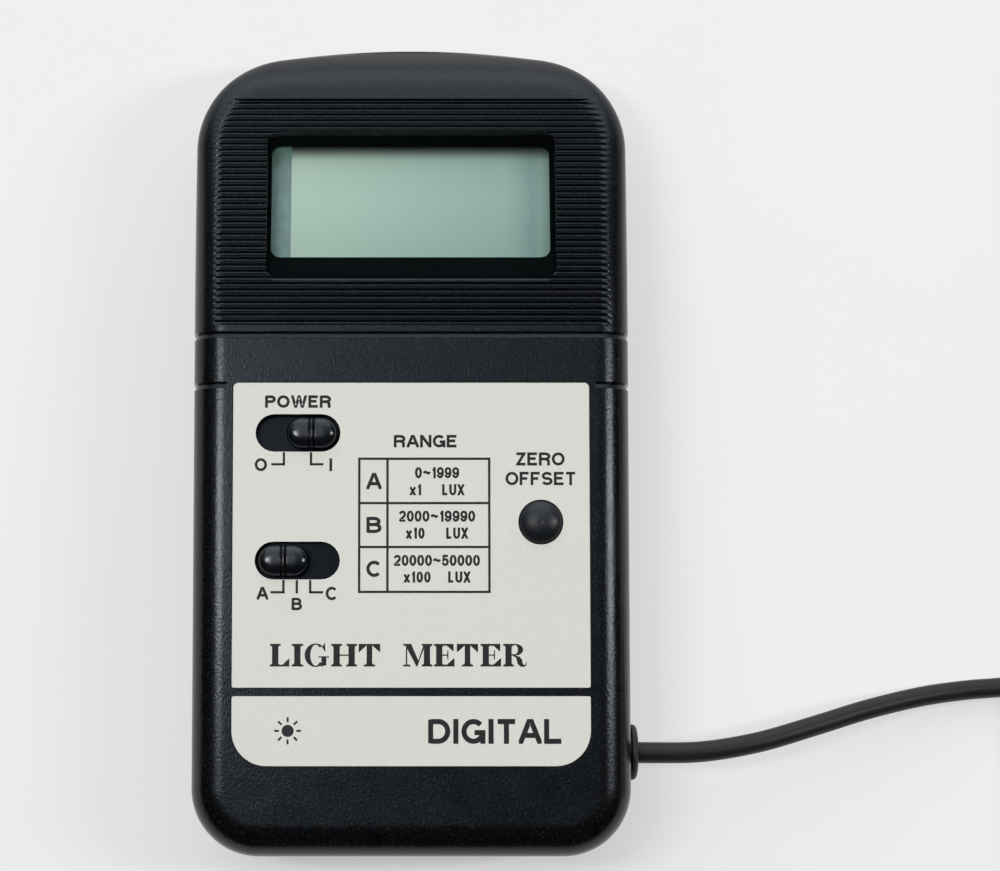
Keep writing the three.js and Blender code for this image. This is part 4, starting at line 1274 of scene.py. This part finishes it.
def shutter(name, body, centre):
    """The dark plate under a knob, which keeps its slot closed wherever the knob stands."""
    x, y = centre
    outline = rounded(x - 9.3, x + 9.3, y - 3.4, y + 3.4, 0.6)
    finish_piece(prism(name, outline, 21.7, 22.0, shutter_black), body)


shutter("power_shutter", "power_slider", POWER_KNOB)
shutter("range_shutter", "range_slider", RANGE_KNOB)

# ---- The lead ----


def lead_gland():
    """The rubber ring that the lead comes out of."""
    profile = [
        (1.4, -6), (3.2, -6), (3.2, 0.1), (4.43, 0.1), (4.45, 0.3), (4.35, 0.62), (4.0, 0.9),
        (3.4, 1.05), (2.6, 1.12), (2.2, 1.15), (1.98, 1.08), (1.85, 0.9), (1.85, -3), (1.4, -3.6),
        (1.4, -6),
    ]
    made = turned("gland_ring", profile[::-1], rubber, 64, 40)
    place(made, GLAND["x"], GLAND["y"], GLAND["z"], Matrix.Rotation(math.pi / 2, 4, "Y"))
    return finish_piece(made, replaces=("lead_gland",))


gland = lead_gland()

# The lead's route: from the gland to the coil, then from the coil to the head.
LEAD_ROUTE = [
    (32.85, -49.1, 12), (39, -49.2, 12), (46.8, -49.05, 11.6), (56, -47.6, 10.3),
    (65.2, -45.1, 8.1), (74.9, -42.3, 5.6), (84.4, -40.2, 3.6), (92, -39.2, 2.4),
    (98, -38.7, 1.8), (102.5, -37.7, 1.7), (105.9, -35.9, 1.7), (110.5, -33.3, 1.68),
]
LEAD_FINISH = [
    (121.5, -26.15, 7.9), (125.0, -24.1, 6.3), (128.2, -22.2, 4.2), (130.9, -20.4, 2.5),
    (133.4, -18.4, 1.8), (135.7, -15, 1.95), (136.6, -11.6, 2.8), (136.7, -9, 3.7),
    (136.7, -6.3, 4.0),
]
# Where each turn of the coil lies: its radius and its height. The last is where the lead leaves it.
COIL_SLOTS = [
    (21.8, 1.68), (18.5, 1.68), (15.2, 1.68), (15.2, 4.98), (15.2, 8.28), (18.5, 8.28), (18.5, 4.98),
    (21.8, 4.98), (21.8, 8.28),
]
COIL_START = 130
COIL_TURNS = len(COIL_SLOTS) - 1
# The part of each turn, in degrees, in which the lead moves to the next turn's place.
CHANGE = (268, 346)


def coil_points():
    """The stored turns, clockwise from above, each moving to the next place just before it ends."""
    points = []
    for along in range(0, COIL_TURNS * 360 + 1, 15):
        turn, local = divmod(along, 360)
        here = COIL_SLOTS[turn]
        ahead = COIL_SLOTS[min(turn + 1, COIL_TURNS)]
        share = np.clip((local - CHANGE[0]) / (CHANGE[1] - CHANGE[0]), 0, 1)
        share = share * share * (3 - 2 * share)
        radius = here[0] + (ahead[0] - here[0]) * share
        z = here[1] + (ahead[1] - here[1]) * share
        angle = math.radians(COIL_START - along)
        points.append((COIL["x"] + radius * math.cos(angle), COIL["y"] + radius * math.sin(angle), z))
    return points


def lead():
    """The whole lead, slightly thicker where it leaves the gland, and its route in mm."""
    path = curve_through(LEAD_ROUTE + coil_points() + LEAD_FINISH, 1.0)
    taper = np.interp(np.arange(len(path)), [0, 60, 90], [LEAD * 1.03, LEAD * 0.97, LEAD]) / 2
    made = tube("lead_flex", path, taper, lead_black, 20)
    finish_piece(made, replaces=("sensor_lead", "lead_coil", "lead_end"))
    return made, path


flex, route = lead()


def lead_tie():
    """A flat strap round the coil's bundle with a buckle on its outer side."""
    low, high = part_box("lead_tie")
    inner, edge, top = COIL["x"] + 23.9, high.x / MM, high.z / MM
    outer = rounded(low.x / MM + 0.05, inner + 0.85, 0.03, top - 0.02, 1.6, steps=6)
    hole = rounded(COIL["x"] + 13.15, inner, -0.5, 10.25, 1.0, steps=6)
    strap = prism("tie_strap", outer, -1.5, 1.5, rubber)
    cut(strap, prism("tie_hole", hole, -3, 3, rubber))
    for i in range(6):
        z = 1.6 + 1.1 * i
        cut(strap, prism("tooth", rectangle(inner + 0.7, inner + 1.2, z, z + 0.4), -1.0, 1.0, rubber))
    buckle = rounded(inner + 0.5, edge, 2.4, 6.4, 0.5, steps=4)
    fuse(strap, prism("buckle", buckle, -1.9, 1.9, rubber))
    place(strap, 0, COIL["y"], 0, Matrix.Rotation(math.pi / 2, 4, "X"))
    bevelled(strap, 0.15, 50)
    return finish_piece(strap, replaces=("lead_tie",))


tie = lead_tie()

# ---- The detector head ----


def head_stack(name, layers):
    """A solid from layers of the head's outline, each moved in by its inset at its height."""
    x = HEAD["x"]
    outlines = []
    for inset, z in layers:
        reach = HEAD["width"] / 2 - inset
        low, high = HEAD["y"] + inset, HEAD["y"] + HEAD["length"] - inset
        foot, top = 6 - inset * 0.5, 13 - inset * 0.5
        outlines.append((rounded(x - reach, x + reach, low, high, foot, top, steps=12), z))
    return stack(name, outlines, casing)


RELIEF_Z = 4.0
HEAD_POSTS = ((-21, 10), (21, 10), (-19, 74.5), (19, 74.5))


def lead_bore():
    """The hole through the head's foot for the strain relief."""
    turn = Matrix.Rotation(math.pi / 2, 4, "X")
    return place(pin("head_bore", 1.95, -4, 4, 32), HEAD["x"], HEAD["y"] + 1, RELIEF_Z, turn)


def head_bores(radius, low, high, segments):
    """Posts or holes at the head's four screws."""
    spots = ((HEAD["x"] + x, HEAD["y"] + y) for x, y in HEAD_POSTS)
    return [bore(x, y, radius, low, high, segments) for x, y in spots]


def at_sensor(made):
    return place(made, HEAD["x"], HEAD["y"] + HEAD["sensor"])


def detector_head():
    """The two shells, the ring and the white dome of the detector head."""
    layers = ((0.9, 0.0), (0.35, 0.22), (0.08, 0.6), (0, 1.1), (0, 3.7), (0.15, 3.85))
    rear = head_stack("head_rear", layers)
    cut(rear, head_stack("room", ((2, 1.6), (2, 6))))
    fuse(rear, *head_bores(2.9, 1.2, 3.8, 28))
    cut(rear, *head_bores(2.05, -1, 1.4, 28))
    cut(rear, *head_bores(1.2, 0, 6, 20), lead_bore())
    finish_piece(rear, replaces=("sensor_rear_shell",))

    front = head_stack("head_front", (
        (0.15, 4.15), (0, 4.3), (0, 6.1), (0.1, 6.75), (0.4, 7.3), (0.9, 7.7), (1.6, 7.93), (2.3, 8.0),
    ))
    cut(front, head_stack("room", ((2, 3), (2, 6.4))))
    fuse(front, *head_bores(2.2, 4.3, 6.8, 28))
    cut(front, *head_bores(1.15, 0, 6.8, 20), lead_bore())
    cut(front, at_sensor(pin("sensor_hole", 17.5, 4, 10, 96)))
    for i in range(5):
        y = HEAD["y"] + 11 + 2.2 * i
        outline = rounded(HEAD["x"] - 12, HEAD["x"] + 12, y - 0.45, y + 0.45, 0.4, steps=4)
        cut(front, prism("rib_gap", outline, 7.55, 9, casing))
    finish_piece(front, replaces=("sensor_front_shell",))

    ring = [
        (15.3, 7.2), (17.2, 7.2), (17.2, 8.1), (19.9, 8.1), (19.86, 8.5), (19.6, 8.9), (19.2, 9.15),
        (18.0, 9.35), (16.6, 9.4), (16.1, 9.35), (15.6, 9.15), (15.35, 8.9), (15.3, 8.6), (15.3, 7.2),
    ]
    made = turned("head_ring", ring, bezel_black, 96, 30)
    finish_piece(at_sensor(made), replaces=("sensor_ring",))

    radius, wall, base, rise = 15.0, 1.2, 8.0, 6.2
    dome = [
        (0, base - wall + rise), *bow(0, base - wall, radius - wall, rise, 84, 0, 12), (13.8, 5.9),
        (16.9, 5.9), (16.9, 6.9), (radius, 6.9), *bow(0, base, radius, rise, 0, 84, 15), (0, base + rise),
    ]
    made = turned("head_dome", dome, diffuser, 96, 40)
    finish_piece(at_sensor(made), replaces=("diffuser_dome",))


detector_head()


def strain_relief():
    """A tapered boot with ribs where the lead enters the head."""
    profile = [(0, -8.0), (1.9, -8.0)]
    for i in range(6):
        z = -7.7 + 1.05 * i
        size = 1.95 + 0.11 * i
        profile += [(size, z), (size, z + 0.6), (size - 0.25, z + 0.68), (size - 0.25, z + 0.97)]
    profile += [(2.6, -1.5), (2.6, -0.3), (1.6, -0.3), (1.6, 2.3), (2.15, 2.3), (2.15, 3.2), (0, 3.2)]
    made = turned("head_boot", profile, rubber, 40, 35)
    place(made, HEAD["x"], HEAD["y"], RELIEF_Z, Matrix.Rotation(-math.pi / 2, 4, "X"))
    return finish_piece(made, replaces=("sensor_strain_relief",))


boot = strain_relief()

# ---- Floor, lights and camera ----


def floor():
    """A pale sheet just under the meter, which glows a little so that shadows on it stay soft."""
    half = 1500.0
    paint = plain("floor_sheet", (0.48, 0.472, 0.465), 0.6, 40, 0.0, spread=0.012, specular=0.2)
    corners = [(x, y, 0) for x, y in rectangle(-half, half, -half, half)]
    made = build("floor", corners, [(0, 1, 2, 3)], paint)
    shader = made.data.materials[0].node_tree.nodes["Principled BSDF"]
    shader.inputs["Emission Color"].default_value = (1, 1, 1, 1)
    shader.inputs["Emission Strength"].default_value = 0.46
    place(made, 0, 0, -0.05)


floor()


def lamp(name, spot, size, energy, colour):
    """A rectangular soft light at a spot, aimed at the origin; its energy is in watts."""
    data = bpy.data.lights.new(name, "AREA")
    data.shape = "RECTANGLE"
    data.size, data.size_y = (s * MM for s in size)
    data.energy = energy
    data.color = colour
    made = bpy.data.objects.new(name, data)
    bpy.context.scene.collection.objects.link(made)
    made.location = Vector(spot) * MM
    made.rotation_euler = (-Vector(spot)).to_track_quat("-Z", "Y").to_euler()


lamp("key_left", (-262, 30, 670), (60, 230), 1.2, (1.0, 0.99, 0.97))
lamp("key_right", (660, 30, 620), (60, 330), 2.0, (1.0, 0.99, 0.97))
lamp("top_window", (-60, 1150, 900), (2200, 1400), 5.9, (0.92, 0.94, 1.0))

SKY_TINT = (0.93, 0.97, 1.0)


def sky():
    """A room that is bright beyond the display end, dim overhead and dark at the foot and the sides."""
    world = bpy.data.worlds.new("studio")
    world.use_nodes = True
    bpy.context.scene.world = world
    tree = world.node_tree
    apart = tree.nodes.new("ShaderNodeSeparateXYZ")
    tree.links.new(tree.nodes.new("ShaderNodeTexCoord").outputs["Generated"], apart.inputs[0])

    def shade(axis, stops):
        """A ramp over one component of the direction, from -1 to 1."""
        span = tree.nodes.new("ShaderNodeMapRange")
        span.inputs["From Min"].default_value = -1
        tree.links.new(apart.outputs[axis], span.inputs["Value"])
        ramp = tree.nodes.new("ShaderNodeValToRGB")
        elements = ramp.color_ramp.elements
        while len(elements) < len(stops):
            elements.new(0.5)
        for element, (at, value) in zip(elements, stops):
            element.position = (at + 1) / 2
            element.color = (*(value * c for c in SKY_TINT), 1)
        tree.links.new(span.outputs[0], ramp.inputs["Fac"])
        return ramp.outputs["Color"]

    def combined(operation, a, b):
        made = tree.nodes.new("ShaderNodeVectorMath")
        made.operation = operation
        tree.links.new(a, made.inputs[0])
        tree.links.new(b, made.inputs[1])
        return made.outputs[0]

    far_end = combined(
        "MULTIPLY",
        shade("Y", [
            (-1, 0.02), (-0.15, 0.02), (-0.05, 0.035), (0.12, 0.18), (0.5, 0.35), (0.8, 0.55), (1, 0.9),
        ]),
        shade("X", [
            (-1, 0.02), (-0.8, 0.12), (-0.45, 0.4), (0, 0.42), (0.5, 0.35), (0.9, 0.06), (1, 0.02),
        ]),
    )
    left_glow = combined(
        "MULTIPLY",
        shade("Y", [(-0.2, 0), (-0.08, 0.04), (0.1, 1), (0.35, 0.6), (0.6, 0)]),
        shade("X", [(-0.9, 0), (-0.5, 0.05), (-0.25, 0.25), (-0.09, 0.34), (0.01, 0.05), (0.12, 0)]),
    )
    background = tree.nodes["Background"]
    tree.links.new(combined("ADD", far_end, left_glow), background.inputs["Color"])
    background.inputs["Strength"].default_value = 5.0


sky()

camera_data = bpy.data.cameras.new("camera")
camera_data.sensor_width = 36
camera_data.lens = 95.1
camera_data.shift_x = 0.085
camera_data.clip_start = 0.01
camera = bpy.data.objects.new("camera", camera_data)
camera.location = (0.0006, -0.0354, 0.44)
camera.rotation_euler = (math.radians(5.0), 0, 0)
bpy.context.scene.collection.objects.link(camera)
bpy.context.scene.camera = camera
bpy.context.scene.view_settings.view_transform = "Standard"
